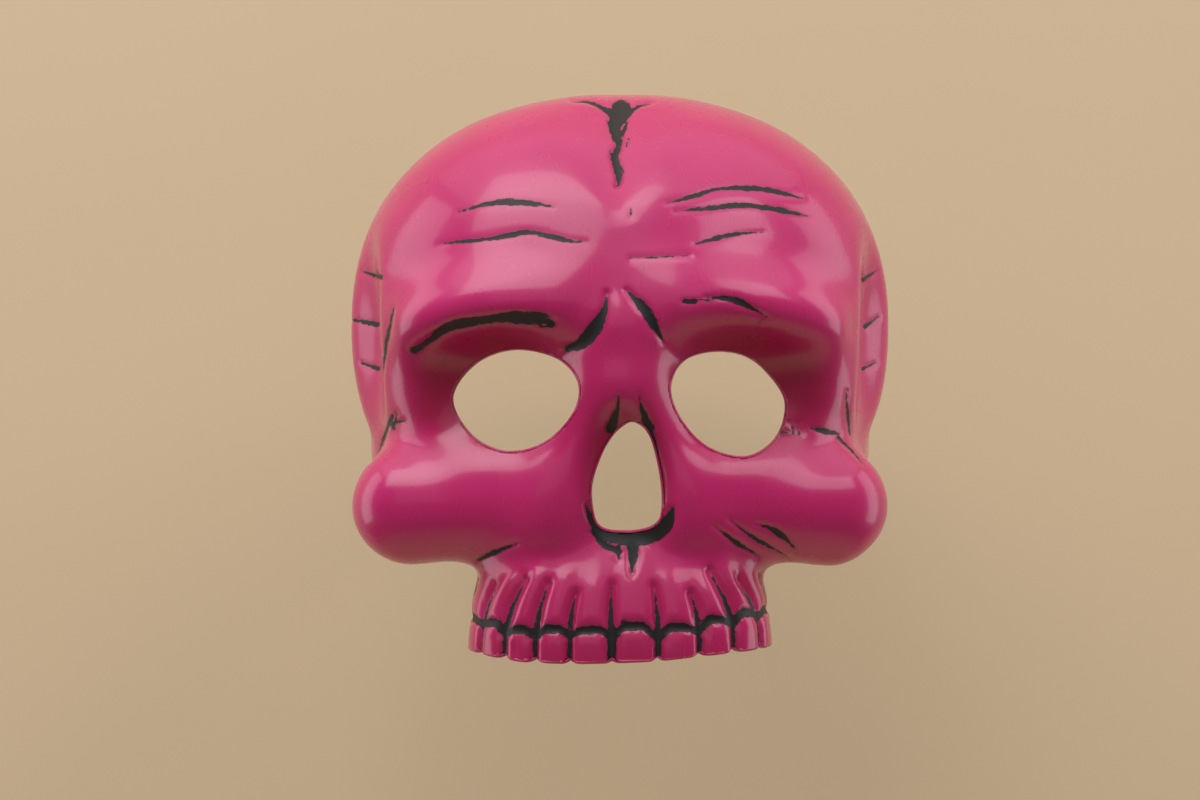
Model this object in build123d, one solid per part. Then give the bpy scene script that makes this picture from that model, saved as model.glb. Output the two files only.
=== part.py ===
from build123d import *
import math
import os

import numpy as np

# Half mask in the form of a skull without its lower jaw: a moulded shell with eye and nose openings,
# foam pads inside, and an elastic head strap that swings on two rivets.
#
# Frame, in millimetres: +X to the right of someone facing the mask, +Y from its face towards the
# wearer, +Z up. The origin is on the mid-plane, level with the centres of the eye openings, under the
# widest part of the cranium.

# ------------------------------------------------------------------ driving dimensions: the shell
WALL = 3.0                   # thickness of the moulded wall
CRANIUM_WIDTH = 194.0        # the cranium is an egg with these full sizes
CRANIUM_DEPTH = 160.0
CRANIUM_HEIGHT = 168.0
JAW_WIDTH = 105.0            # upper jaw, side to side
TEETH_END_Z = -88.0          # lower edge of the teeth
RIM_TEMPLE_Y = 18.0          # back edge of the shell beside the temples
RIM_JAW_Y = -28.0            # back edge of the shell beside the jaw
RIM_STEP_LOW_Z = -52.0       # the back edge steps forward between these two heights
RIM_STEP_HIGH_Z = -12.0
VALLEY_DEPTH = 4.2           # of the valley down the forehead
TOOTH_NOTCH_DEPTH = 1.5      # of the notches between the teeth
TOOTH_NOTCH_WIDTH = 2.4
TOOTH_NOTCH_TOP_Z = -75.0
TOOTH_EDGES = (-70.4, -50.3, -32.6, -18.5, -2.6, 15.1, 31.3, 48.6, 69.2)   # degrees round the jaw

# ------------------------------------------------------------------ driving dimensions: the pads
PAD_CLEARANCE = 0.3          # glue line between a pad and the wall
# name: thickness, then the angles from and to, sideways and upwards, of rays from EYE_POINT that bound it
PADS = {
    "forehead_pad": (8.0, (-27.0, 27.0), (24.0, 37.0)),
    "nose_bridge_pad": (5.0, (-4.2, 4.2), (8.5, 16.0)),
    "cheek_pad_right": (8.0, (15.0, 28.0), (-22.5, -12.0)),
    "cheek_pad_left": (8.0, (-28.0, -15.0), (-22.5, -12.0)),
}

# ------------------------------------------------------------------ driving dimensions: the strap
STRAP_WIDTH = 20.0
STRAP_THICKNESS = 1.6
STRAP_LEAN = 22.0            # degrees that each side leans inwards behind the rim
STRAP_STRAIGHT = 60.0        # length of each leaning stretch
STRAP_BEND_RADIUS = 24.0     # where it starts to lean
STRAP_PARALLEL = 7.0         # stretch from the rivet to that bend
TAIL_LENGTH = 40.0           # doubled end of the band, through the slider
CHAPE_RETURN = 8.0           # doubled end of the short piece
RIVET_Y = 8.0
RIVET_Z = 34.0
RIVET_SHANK = 4.0            # diameter
RIVET_BORE = 2.2             # diameter of its hollow end
RIVET_HEAD = 9.0             # diameter
RIVET_HEAD_THICKNESS = 1.2
RIVET_SEAT = 1.3             # depth of the dimple that the head lies in
SPACER_DIAMETER = 9.0
SPACER_THICKNESS = 2.4
GROMMET_DIAMETER = 9.0
GROMMET_FLANGE = 0.6         # thickness
GROMMET_BARREL = 0.8         # wall round the shank
CAP_DIAMETER = 9.0           # washer under the rivet's clinched end
CAP_THICKNESS = 0.8
CLINCH_DIAMETER = 6.0
CLINCH_THICKNESS = 0.9
RUNNING_CLEARANCE = 0.05     # radial, grommet on shank
END_CLEARANCE = 0.15         # axial, each side of a grommet
SOFT_CLEARANCE = 0.3         # round webbing
RING_BAR = 2.0               # diameter of the ring's wire
RING_OPENING = 4.8           # inside, along the strap
RING_CENTRE = 31.0           # from the rivet, along the strap
SLIDER_LENGTH = 15.0
SLIDER_RIM = 2.2
SLIDER_WALL = 1.2
SLIDER_CENTRE = 55.0         # from the rivet, along the strap

ADD, CARVE = 1, -1
MIDDLE, BOTH = (1,), (1, -1)
EYE_POINT = (0.0, 45.0, -4.0)     # every part of the shell is in plain sight from here


# ------------------------------------------------------------------ the form of the face
def egg(centre, radii, turn=(0, 0, 0), power=2.0):
    """Ellipsoid, or a boxier one at a higher power, turned about X, Y and Z in degrees."""
    def distance(p):
        q = p - np.array(centre, float)
        for axis, angle in enumerate(turn):
            i, j = (axis + 1) % 3, (axis + 2) % 3
            c, s = np.cos(np.radians(angle)), np.sin(np.radians(angle))
            q_i, q_j = q[..., i] * c + q[..., j] * s, q[..., j] * c - q[..., i] * s
            q = q.copy()
            q[..., i], q[..., j] = q_i, q_j
        u = np.abs(q) / np.array(radii, float)
        size = (u ** power).sum(-1) ** (1 / power) + 1e-9
        slope = np.sqrt(((u ** (power - 1) / np.array(radii, float)) ** 2).sum(-1)) / size ** (power - 1)
        return (size - 1) / (slope + 1e-9)
    return distance


def bone(start, end, start_radius, end_radius):
    """Rounded bar that tapers from one ball to another."""
    def distance(p):
        a, b = np.array(start, float), np.array(end, float)
        t = np.clip((p - a) @ (b - a) / ((b - a) @ (b - a)), 0, 1)
        radius = start_radius + t * (end_radius - start_radius)
        return np.linalg.norm(p - a - t[..., None] * (b - a), axis=-1) - radius
    return distance


CRANIUM = egg((0, 2, 27), (CRANIUM_WIDTH / 2, CRANIUM_DEPTH / 2, CRANIUM_HEIGHT / 2), power=2.25)
JAW_MASS = dict(centre=(0, -41, -94), radii=(JAW_WIDTH / 2, 38, 58), power=2.8)
# what it is, how, on which sides, how far its edge is rounded into the rest, its solid
FORM = (
    ("temple hollow", CARVE, BOTH, 8.5, egg((108.5, -29, 18), (25.5, 22.5, 54), power=2.2)),
    ("brow ridge", ADD, BOTH, 16, egg((41, -62, 31), (34, 15.5, 12), (0, 8, 12))),
    ("face block", ADD, MIDDLE, 14, egg((0, -38, -26), (60, 34, 34))),
    ("upper jaw", ADD, MIDDLE, 13, egg(**JAW_MASS)),
    ("eye socket", CARVE, BOTH, 15, egg((45, -85, 2.5), (37, 31, 21.5), (0, 0, 10))),
    ("nasal bridge", ADD, MIDDLE, 9, bone((0, -68, 24), (0, -68, 8), 13, 13)),
    ("nasal wall", ADD, BOTH, 9, bone((5, -66, 6), (23, -62, -38), 11, 11)),
    ("cheekbone", ADD, BOTH, 12, bone((26, -55, -33), (72.5, -42, -35.5), 18, 20.5)),
    ("cheek arch", ADD, BOTH, 9, bone((70, -36, -32), (76, 20, -18), 15, 15)),
    ("nose recess", CARVE, MIDDLE, 6, egg((2, -86, -25), (15, 19, 23))),
)
EYE_LEFT = ((-57.3, 1.6), (-49.6, 13.0), (-36.5, 17.9), (-22.0, 15.2), (-14.4, 7.1), (-16.1, -3.4),
            (-26.0, -13.3), (-39.1, -16.1), (-50.9, -10.6))
EYE_RIGHT = ((17.4, 5.8), (22.0, 14.3), (31.8, 17.3), (42.3, 16.0), (50.2, 10.4), (56.5, 0.5),
             (53.5, -11.3), (43.0, -17.9), (29.8, -14.6), (20.6, -4.7))
NOSE = ((4.8, -6.6), (10.0, -11.8), (13.3, -25.5), (13.6, -37.2), (10.0, -41.7), (1.6, -43.0),
        (-6.2, -41.7), (-8.8, -35.9), (-9.1, -26.8), (-4.9, -15.1), (0.3, -8.6))


def ramp(value, low, high):
    """0 below low, 1 above high and smooth between."""
    t = np.clip((value - low) / (high - low), 0, 1)
    return t * t * (3 - 2 * t)


def join(a, b, reach):
    """The smaller of two distances, rounded over where they meet."""
    h = np.clip(0.5 + 0.5 * (b - a) / reach, 0, 1)
    return b * (1 - h) + a * h - reach * h * (1 - h)


def forehead_valley(p):
    """Depth of the valley that runs down the middle of the forehead and narrows as it goes."""
    x, y, z = p[..., 0], p[..., 1], p[..., 2]
    half_width = 4.5 + 12 * np.clip((z - 66) / 40, 0, 1)
    along = ramp(z, 58, 84) * (1 - ramp(z, 100, 113)) * ramp(-y, 20, 45)
    return VALLEY_DEPTH * np.exp(-(x / half_width) ** 2) * along


def form(p):
    """Distance from the shell's outer surface, negative inside."""
    d = CRANIUM(p)
    for _, how, sides, reach, mass in FORM:
        for side in sides:
            d = how * join(how * d, mass(p * (side, 1, 1)), reach)
    return d + forehead_valley(p)


def march(start, ray, depth=0.0):
    """Points where rays from start reach a depth under the outer surface."""
    start = np.array(start, float)
    near, far = np.full(ray.shape[:-1], 5.0), np.full(ray.shape[:-1], 250.0)
    for _ in range(30):
        middle = (near + far) / 2
        inside = form(start + middle[..., None] * ray) < -depth
        near, far = np.where(inside, middle, near), np.where(inside, far, middle)
    return start + near[..., None] * ray


def cast(sideways, upward, depth):
    """Rows of points at a depth under the outer surface, seen from EYE_POINT at angles in degrees."""
    turn, lift = np.meshgrid(np.radians(sideways), np.radians(upward))
    ray = np.stack([np.sin(turn), -np.cos(turn) * np.cos(lift), np.cos(turn) * np.sin(lift)], -1)
    return march(EYE_POINT, ray, depth)


def layer(sideways, upward, outer_depth, inner_depth, columns, rows):
    """Solid between two depths under the outer surface, over a range of angles from EYE_POINT."""
    spread = [k / (columns - 1) for k in range(columns)]
    across, along = np.linspace(*sideways, columns), np.linspace(*upward, rows)
    sections = []
    for outside, inside in zip(cast(across, along, outer_depth), cast(across, along, inner_depth)):
        out = [Vector(*map(float, q)) for q in outside]
        back = [Vector(*map(float, q)) for q in inside[::-1]]
        edges = [Edge.make_spline(out, parameters=spread), Edge.make_line(out[-1], back[0]),
                 Edge.make_spline(back, parameters=spread), Edge.make_line(back[-1], out[0])]
        sections.append(Wire(edges))
    return Solid.make_loft(sections, ruled=True)


# ------------------------------------------------------------------ the shell
def outline_cutter(outline):
    """Prism along Y through the front of the face, with a smooth closed outline in X and Z."""
    edge = Edge.make_spline([Vector(x, 0, z) for x, z in outline], periodic=True)
    return Solid.extrude(Face(Wire([edge])), Vector(0, -140, 0))


def rim_cutter():
    """Everything behind the back edge, which steps forward beside the jaw, and below the teeth."""
    heights = np.linspace(RIM_STEP_LOW_Z, RIM_STEP_HIGH_Z, 9)
    step = RIM_JAW_Y + (RIM_TEMPLE_Y - RIM_JAW_Y) * ramp(heights, RIM_STEP_LOW_Z, RIM_STEP_HIGH_Z)
    curve = [Vector(0, float(y), float(z)) for y, z in zip(step, heights)]
    up = Vector(0, 0, 1)
    edges = [Edge.make_spline(curve, tangents=[up, up]),
             *Polyline(curve[-1], (0, RIM_TEMPLE_Y, 200), (0, 300, 200), (0, 300, -200),
                       (0, RIM_JAW_Y, -200), curve[0]).edges()]
    behind = Solid.extrude(Face(Wire(edges)), Vector(300, 0, 0)).moved(Pos(-150, 0, 0))
    below = Pos(0, 0, TEETH_END_Z - 100) * Box(400, 400, 200)
    return [behind, below]


def tooth_notches():
    """Upright wedges between the teeth, standing round the jaw's outer surface."""
    height = TOOTH_NOTCH_TOP_Z - TEETH_END_Z
    level = (TOOTH_NOTCH_TOP_Z + TEETH_END_Z) / 2
    turn = np.radians(TOOTH_EDGES)
    ray = np.stack([np.sin(turn), -np.cos(turn), np.zeros(len(turn))], -1)
    seats = march((0, JAW_MASS["centre"][1], level), ray)
    wedge = Polyline((0, -TOOTH_NOTCH_DEPTH), (TOOTH_NOTCH_WIDTH, TOOTH_NOTCH_DEPTH),
                     (-TOOTH_NOTCH_WIDTH, TOOTH_NOTCH_DEPTH), close=True)
    prism = extrude(make_face(wedge), height + 2)
    return [Pos(*map(float, seat)) * Pos(0, 0, -height / 2 - 2) * Rot(0, 0, 180 + angle) * prism
            for seat, angle in zip(seats, TOOTH_EDGES)]


def rivet_x():
    """Distance of the shell's outer surface from the mid-plane, beside the rivets."""
    ray = np.array([[1.0, 0.0, 0.0]])
    return float(march((0, RIVET_Y, RIVET_Z), ray)[0][0])


RIVET_X = rivet_x()
SHELL_INSIDE = RIVET_X - WALL


def disc(outer_x, thickness, diameter, bore=0.0):
    """Round plate about the right rivet's axis, from outer_x towards the mid-plane."""
    plate = Cylinder(diameter / 2, thickness)
    if bore:
        plate -= Cylinder(bore / 2, thickness * 2)
    return Pos(outer_x - thickness / 2, RIVET_Y, RIVET_Z) * Rot(0, 90, 0) * plate


def both_sides(solid):
    """A right piece and its mirror image."""
    return {"right": solid, "left": mirror(solid, about=Plane.YZ)}


def skull_shell():
    """The moulded skull, with its openings, back edge, tooth notches and rivet holes."""
    shell = layer((-80, 80), (-60, 80), 0.0, WALL, 45, 45)
    tools = [outline_cutter(o) for o in (EYE_LEFT, EYE_RIGHT, NOSE)] + rim_cutter() + tooth_notches()
    head_seat = disc(RIVET_X + 5, 5 + RIVET_SEAT, RIVET_HEAD + 2 * SOFT_CLEARANCE)
    hole = disc(RIVET_X + 5, 20, RIVET_SHANK + 2 * RUNNING_CLEARANCE)
    spacer_seat = disc(SHELL_INSIDE, 5, SPACER_DIAMETER + 2 * SOFT_CLEARANCE)
    for tool in (head_seat, hole, spacer_seat):
        tools += both_sides(tool).values()
    return Part() + shell - tools


# ------------------------------------------------------------------ the strap and its fittings
# Inwards from the shell's inside: spacer, clearance, grommet with the webbing's end, clearance, cap.
GROMMET_OUT = SHELL_INSIDE - SPACER_THICKNESS - END_CLEARANCE
GROMMET_STACK = STRAP_THICKNESS + 2 * GROMMET_FLANGE
STRAP_X = GROMMET_OUT - GROMMET_STACK / 2
CAP_OUT = GROMMET_OUT - GROMMET_STACK - END_CLEARANCE
GROMMET_BORE = RIVET_SHANK + 2 * RUNNING_CLEARANCE


def rivet():
    """Tubular rivet: head in the dimple, hollow shank and clinched end."""
    head = disc(RIVET_X - RIVET_SEAT + RIVET_HEAD_THICKNESS, RIVET_HEAD_THICKNESS, RIVET_HEAD)
    head = fillet(head.edges().group_by(Axis.X)[-1], RIVET_HEAD_THICKNESS * 0.6)
    shank_length = RIVET_X - RIVET_SEAT - CAP_OUT + CAP_THICKNESS
    shank = disc(RIVET_X - RIVET_SEAT, shank_length, RIVET_SHANK)
    clinch = disc(CAP_OUT - CAP_THICKNESS, CLINCH_THICKNESS, CLINCH_DIAMETER)
    clinch = fillet(clinch.edges().group_by(Axis.X)[0], CLINCH_THICKNESS * 0.6)
    bore_end = CAP_OUT - CAP_THICKNESS - CLINCH_THICKNESS
    bore = disc(bore_end + 4, 5, RIVET_BORE)
    return head + shank + clinch - bore


def spacer():
    """Washer between the shell and the grommet."""
    return disc(SHELL_INSIDE, SPACER_THICKNESS, SPACER_DIAMETER, GROMMET_BORE)


def cap():
    """Washer under the clinched end."""
    return disc(CAP_OUT, CAP_THICKNESS, CAP_DIAMETER, GROMMET_BORE)


def grommet():
    """Eyelet in the webbing's end: two flanges and the barrel between them."""
    barrel_diameter = GROMMET_BORE + 2 * GROMMET_BARREL
    barrel = disc(GROMMET_OUT, GROMMET_STACK, barrel_diameter, GROMMET_BORE)
    outer = disc(GROMMET_OUT, GROMMET_FLANGE, GROMMET_DIAMETER, GROMMET_BORE)
    inner = disc(GROMMET_OUT - GROMMET_STACK + GROMMET_FLANGE, GROMMET_FLANGE, GROMMET_DIAMETER,
                 GROMMET_BORE)
    return barrel + outer + inner


# Each side runs back from its rivet, bends inwards and leans straight until the back curve meets it.
LEAN = math.radians(STRAP_LEAN)
BEND_LENGTH = STRAP_BEND_RADIUS * LEAN
LEAN_START = STRAP_PARALLEL + BEND_LENGTH
LEAN_X = STRAP_X - STRAP_BEND_RADIUS * (1 - math.cos(LEAN))
LEAN_Y = RIVET_Y + STRAP_PARALLEL + STRAP_BEND_RADIUS * math.sin(LEAN)
BACK_X = LEAN_X - STRAP_STRAIGHT * math.sin(LEAN)
BACK_Y = LEAN_Y + STRAP_STRAIGHT * math.cos(LEAN)
BACK_RADIUS = BACK_X / math.cos(LEAN)
BACK_END_Y = BACK_Y + BACK_RADIUS * (1 - math.sin(LEAN))
RIGHT, LEFT = 1, -1

# On the left the webbing is doubled round the bars of a ring, with this much between its plies.
PLY_GAP = RING_BAR + 2 * SOFT_CLEARANCE
PLY_STEP = PLY_GAP + STRAP_THICKNESS
RING_REACH = (RING_OPENING + RING_BAR) / 2
RING_FRONT = RING_CENTRE - RING_REACH
RING_BACK = RING_CENTRE + RING_REACH


def lean_point(side, along, inward=0.0):
    """Point on a leaning stretch, by distance along the strap from the rivet and depth inwards."""
    run = along - LEAN_START
    x = LEAN_X - run * math.sin(LEAN) - inward * math.cos(LEAN)
    y = LEAN_Y + run * math.cos(LEAN) - inward * math.sin(LEAN)
    return Vector(side * x, y, RIVET_Z)


def lean_frame(along, inward):
    """Frame on the left stretch: its Y along the strap, its Z upwards."""
    return Plane(origin=lean_point(LEFT, along, inward), x_dir=(math.cos(LEAN), -math.sin(LEAN), 0),
                 z_dir=(0, 0, 1))


def bend_path(side):
    """From the rivet through the bend to the start of the leaning stretch."""
    start = Vector(side * STRAP_X, RIVET_Y, RIVET_Z)
    bend = Vector(side * STRAP_X, RIVET_Y + STRAP_PARALLEL, RIVET_Z)
    return [Edge.make_line(start, bend),
            Edge.make_tangent_arc(bend, Vector(0, 1, 0), lean_point(side, LEAN_START))]


def fold(along, towards):
    """Half circle round a bar of the ring, from the outer ply to the inner one."""
    middle = lean_point(LEFT, along + towards * PLY_STEP / 2, PLY_STEP / 2)
    return Edge.make_three_point_arc(lean_point(LEFT, along), middle, lean_point(LEFT, along, PLY_STEP))


def webbing(edges):
    """Webbing on edge along a path in the level plane of the rivets."""
    return extrude(trace(Wire(edges), STRAP_THICKNESS), STRAP_WIDTH / 2, both=True)


def tongue(side):
    """Rounded end of the webbing round the rivet, with the grommet's hole."""
    outline = Circle(STRAP_WIDTH / 2) - Circle(GROMMET_BORE / 2 + GROMMET_BARREL)
    place = Plane(origin=(side * STRAP_X, RIVET_Y, RIVET_Z), x_dir=(0, 1, 0), z_dir=(1, 0, 0))
    return extrude(place * outline, STRAP_THICKNESS / 2, both=True)


def with_tongue(body, side):
    """Webbing whose end is cut round and pierced for the grommet."""
    square = Pos(side * STRAP_X, RIVET_Y, RIVET_Z) * Box(4, STRAP_WIDTH, STRAP_WIDTH + 2)
    square -= Pos(0, STRAP_WIDTH / 2, 0) * square
    return body - disc_hole(side) - square + tongue(side)


def disc_hole(side):
    """Clearance for the grommet's barrel through the webbing."""
    hole = disc(STRAP_X + STRAP_THICKNESS, 2 * STRAP_THICKNESS, GROMMET_BORE + 2 * GROMMET_BARREL)
    return hole if side == RIGHT else mirror(hole, about=Plane.YZ)


def strap_band():
    """Elastic band from the right rivet, round the back and through the ring to its own tail."""
    edges = bend_path(RIGHT)
    back = [lean_point(side, LEAN_START + STRAP_STRAIGHT) for side in (RIGHT, LEFT)]
    edges.append(Edge.make_line(lean_point(RIGHT, LEAN_START), back[0]))
    edges.append(Edge.make_three_point_arc(back[0], Vector(0, BACK_END_Y, RIVET_Z), back[1]))
    edges.append(Edge.make_line(back[1], lean_point(LEFT, RING_BACK)))
    edges.append(fold(RING_BACK, -1))
    edges.append(Edge.make_line(lean_point(LEFT, RING_BACK, PLY_STEP),
                                lean_point(LEFT, RING_BACK + TAIL_LENGTH, PLY_STEP)))
    return with_tongue(webbing(edges), RIGHT)


def strap_chape():
    """Short piece of webbing from the left rivet, folded round the ring's front bar."""
    edges = bend_path(LEFT)
    edges.append(Edge.make_line(lean_point(LEFT, LEAN_START), lean_point(LEFT, RING_FRONT)))
    edges.append(fold(RING_FRONT, 1))
    edges.append(Edge.make_line(lean_point(LEFT, RING_FRONT, PLY_STEP),
                                lean_point(LEFT, RING_FRONT - CHAPE_RETURN, PLY_STEP)))
    return with_tongue(webbing(edges), LEFT)


def strap_ring():
    """Oblong wire ring that joins the short webbing to the band."""
    frame = lean_frame(RING_CENTRE, PLY_STEP / 2)
    across = Plane(origin=frame.origin, x_dir=frame.y_dir, z_dir=frame.x_dir)
    reach_z = STRAP_WIDTH / 2 + SOFT_CLEARANCE + RING_BAR / 2
    corners = [(RING_REACH, reach_z), (-RING_REACH, reach_z), (-RING_REACH, -reach_z), (RING_REACH, -reach_z)]
    path = across * FilletPolyline(*corners, radius=RING_BAR, close=True)
    section = Plane(origin=path @ 0, z_dir=path % 0) * Circle(RING_BAR / 2)
    return sweep(section, path=path)


def strap_slider():
    """Moulded slide with a window for each ply and a bar between them."""
    window_x = STRAP_THICKNESS + 2 * SOFT_CLEARANCE
    window_z = STRAP_WIDTH + 2 * SOFT_CLEARANCE
    body = Box(PLY_STEP + window_x + 2 * SLIDER_WALL, SLIDER_LENGTH, window_z + 2 * SLIDER_RIM)
    body = fillet(body.edges(), SLIDER_WALL * 0.6)
    for ply in (-1, 1):
        body -= Pos(ply * PLY_STEP / 2, 0, 0) * Box(window_x, SLIDER_LENGTH * 2, window_z)
    return lean_frame(SLIDER_CENTRE, PLY_STEP / 2) * body


# ------------------------------------------------------------------ build and write
def build():
    """Every piece of the mask by name."""
    pieces = {"skull_shell": skull_shell()}
    face = WALL + PAD_CLEARANCE
    for name, (thickness, sideways, upward) in PADS.items():
        pieces[name] = layer(sideways, upward, face, face + thickness, 13, 9)
    for name, make in (("rivet", rivet), ("rivet_spacer", spacer), ("rivet_cap", cap),
                       ("strap_grommet", grommet)):
        for side, solid in both_sides(make()).items():
            pieces[f"{name}_{side}"] = solid
    pieces["strap_band"] = strap_band()
    pieces["strap_chape"] = strap_chape()
    pieces["strap_ring"] = strap_ring()
    pieces["strap_slider"] = strap_slider()
    return pieces


os.makedirs("parts", exist_ok=True)
for name, piece in build().items():
    export_step(piece, f"parts/{name}.step")
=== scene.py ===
"""Looks of a pink skull half mask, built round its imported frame.

Sizes are in millimetres in the same axes as the frame: +X to the right of someone facing the mask, +Y
towards the wearer, +Z up, with the origin on the mid-plane level with the eye openings. Meshes are
written in metres.
"""
import sys

import logging
import math
from dataclasses import dataclass, field
from enum import Enum
from typing import Callable, ClassVar, Sequence

import bpy
import numpy as np
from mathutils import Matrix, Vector


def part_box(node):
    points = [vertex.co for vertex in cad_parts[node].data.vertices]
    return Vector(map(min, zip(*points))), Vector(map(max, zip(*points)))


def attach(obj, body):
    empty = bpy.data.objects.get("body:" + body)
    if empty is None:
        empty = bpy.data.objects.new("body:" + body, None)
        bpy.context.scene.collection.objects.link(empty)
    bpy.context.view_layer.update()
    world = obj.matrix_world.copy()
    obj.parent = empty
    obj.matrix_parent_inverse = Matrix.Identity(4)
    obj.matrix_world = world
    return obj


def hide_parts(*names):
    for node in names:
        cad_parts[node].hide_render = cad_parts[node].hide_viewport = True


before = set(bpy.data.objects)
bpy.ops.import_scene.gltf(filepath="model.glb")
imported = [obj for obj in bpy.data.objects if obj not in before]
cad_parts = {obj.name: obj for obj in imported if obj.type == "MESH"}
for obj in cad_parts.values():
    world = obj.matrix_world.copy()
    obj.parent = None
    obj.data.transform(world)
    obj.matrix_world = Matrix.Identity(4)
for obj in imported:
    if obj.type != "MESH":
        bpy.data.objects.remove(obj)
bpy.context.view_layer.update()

LOG = logging.getLogger("skull_mask")
MM = 0.001
Array = np.ndarray


# ---------------------------------------------------------------------------------- the form
class Side(Enum):
    """Which side of the mid-plane a mass stands on."""

    MIDDLE = (1,)
    BOTH = (1, -1)


class Blend(Enum):
    """Whether a mass is added to the form or carved out of it."""

    ADD = 1
    CARVE = -1


def ramp(value: Array, low: float, high: float) -> Array:
    """Give 0 below low, 1 above high and a smooth rise between."""
    t = np.clip((value - low) / (high - low), 0, 1)
    return t * t * (3 - 2 * t)


def bell(value: Array, width: float) -> Array:
    """Give a smooth bump that is 1 at zero and fades over a width."""
    return np.exp(-((value / width) ** 2))


@dataclass(frozen=True)
class Egg:
    """Ellipsoid, or a boxier one at a higher power, turned about X, Y and Z in degrees."""

    centre: tuple[float, float, float]
    radii: tuple[float, float, float]
    turn: tuple[float, float, float] = (0.0, 0.0, 0.0)
    power: float = 2.0

    def distance(self, points: Array) -> Array:
        """Distance of points from the egg's surface, negative inside.

        Args:
            points: places in millimetres, one per row.

        Returns:
            One distance per point.
        """
        q = points - np.array(self.centre)
        for axis, angle in enumerate(self.turn):
            i, j = (axis + 1) % 3, (axis + 2) % 3
            c, s = math.cos(math.radians(angle)), math.sin(math.radians(angle))
            q_i, q_j = q[..., i] * c + q[..., j] * s, q[..., j] * c - q[..., i] * s
            q = q.copy()
            q[..., i], q[..., j] = q_i, q_j
        radii = np.array(self.radii)
        u = np.abs(q) / radii
        size = (u ** self.power).sum(-1) ** (1 / self.power) + 1e-9
        slope = np.sqrt(((u ** (self.power - 1) / radii) ** 2).sum(-1)) / size ** (self.power - 1)
        return (size - 1) / (slope + 1e-9)


@dataclass(frozen=True)
class Bone:
    """Rounded bar that tapers from one ball to another."""

    start: tuple[float, float, float]
    end: tuple[float, float, float]
    start_radius: float
    end_radius: float

    def distance(self, points: Array) -> Array:
        """Distance of points from the bar's surface, negative inside."""
        a, b = np.array(self.start), np.array(self.end)
        t = np.clip((points - a) @ (b - a) / ((b - a) @ (b - a)), 0, 1)
        radius = self.start_radius + t * (self.end_radius - self.start_radius)
        return np.linalg.norm(points - a - t[..., None] * (b - a), axis=-1) - radius


@dataclass(frozen=True)
class Mass:
    """One rounded mass of the face and how it joins the rest."""

    name: str
    how: Blend
    side: Side
    reach: float
    solid: Egg | Bone


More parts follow.
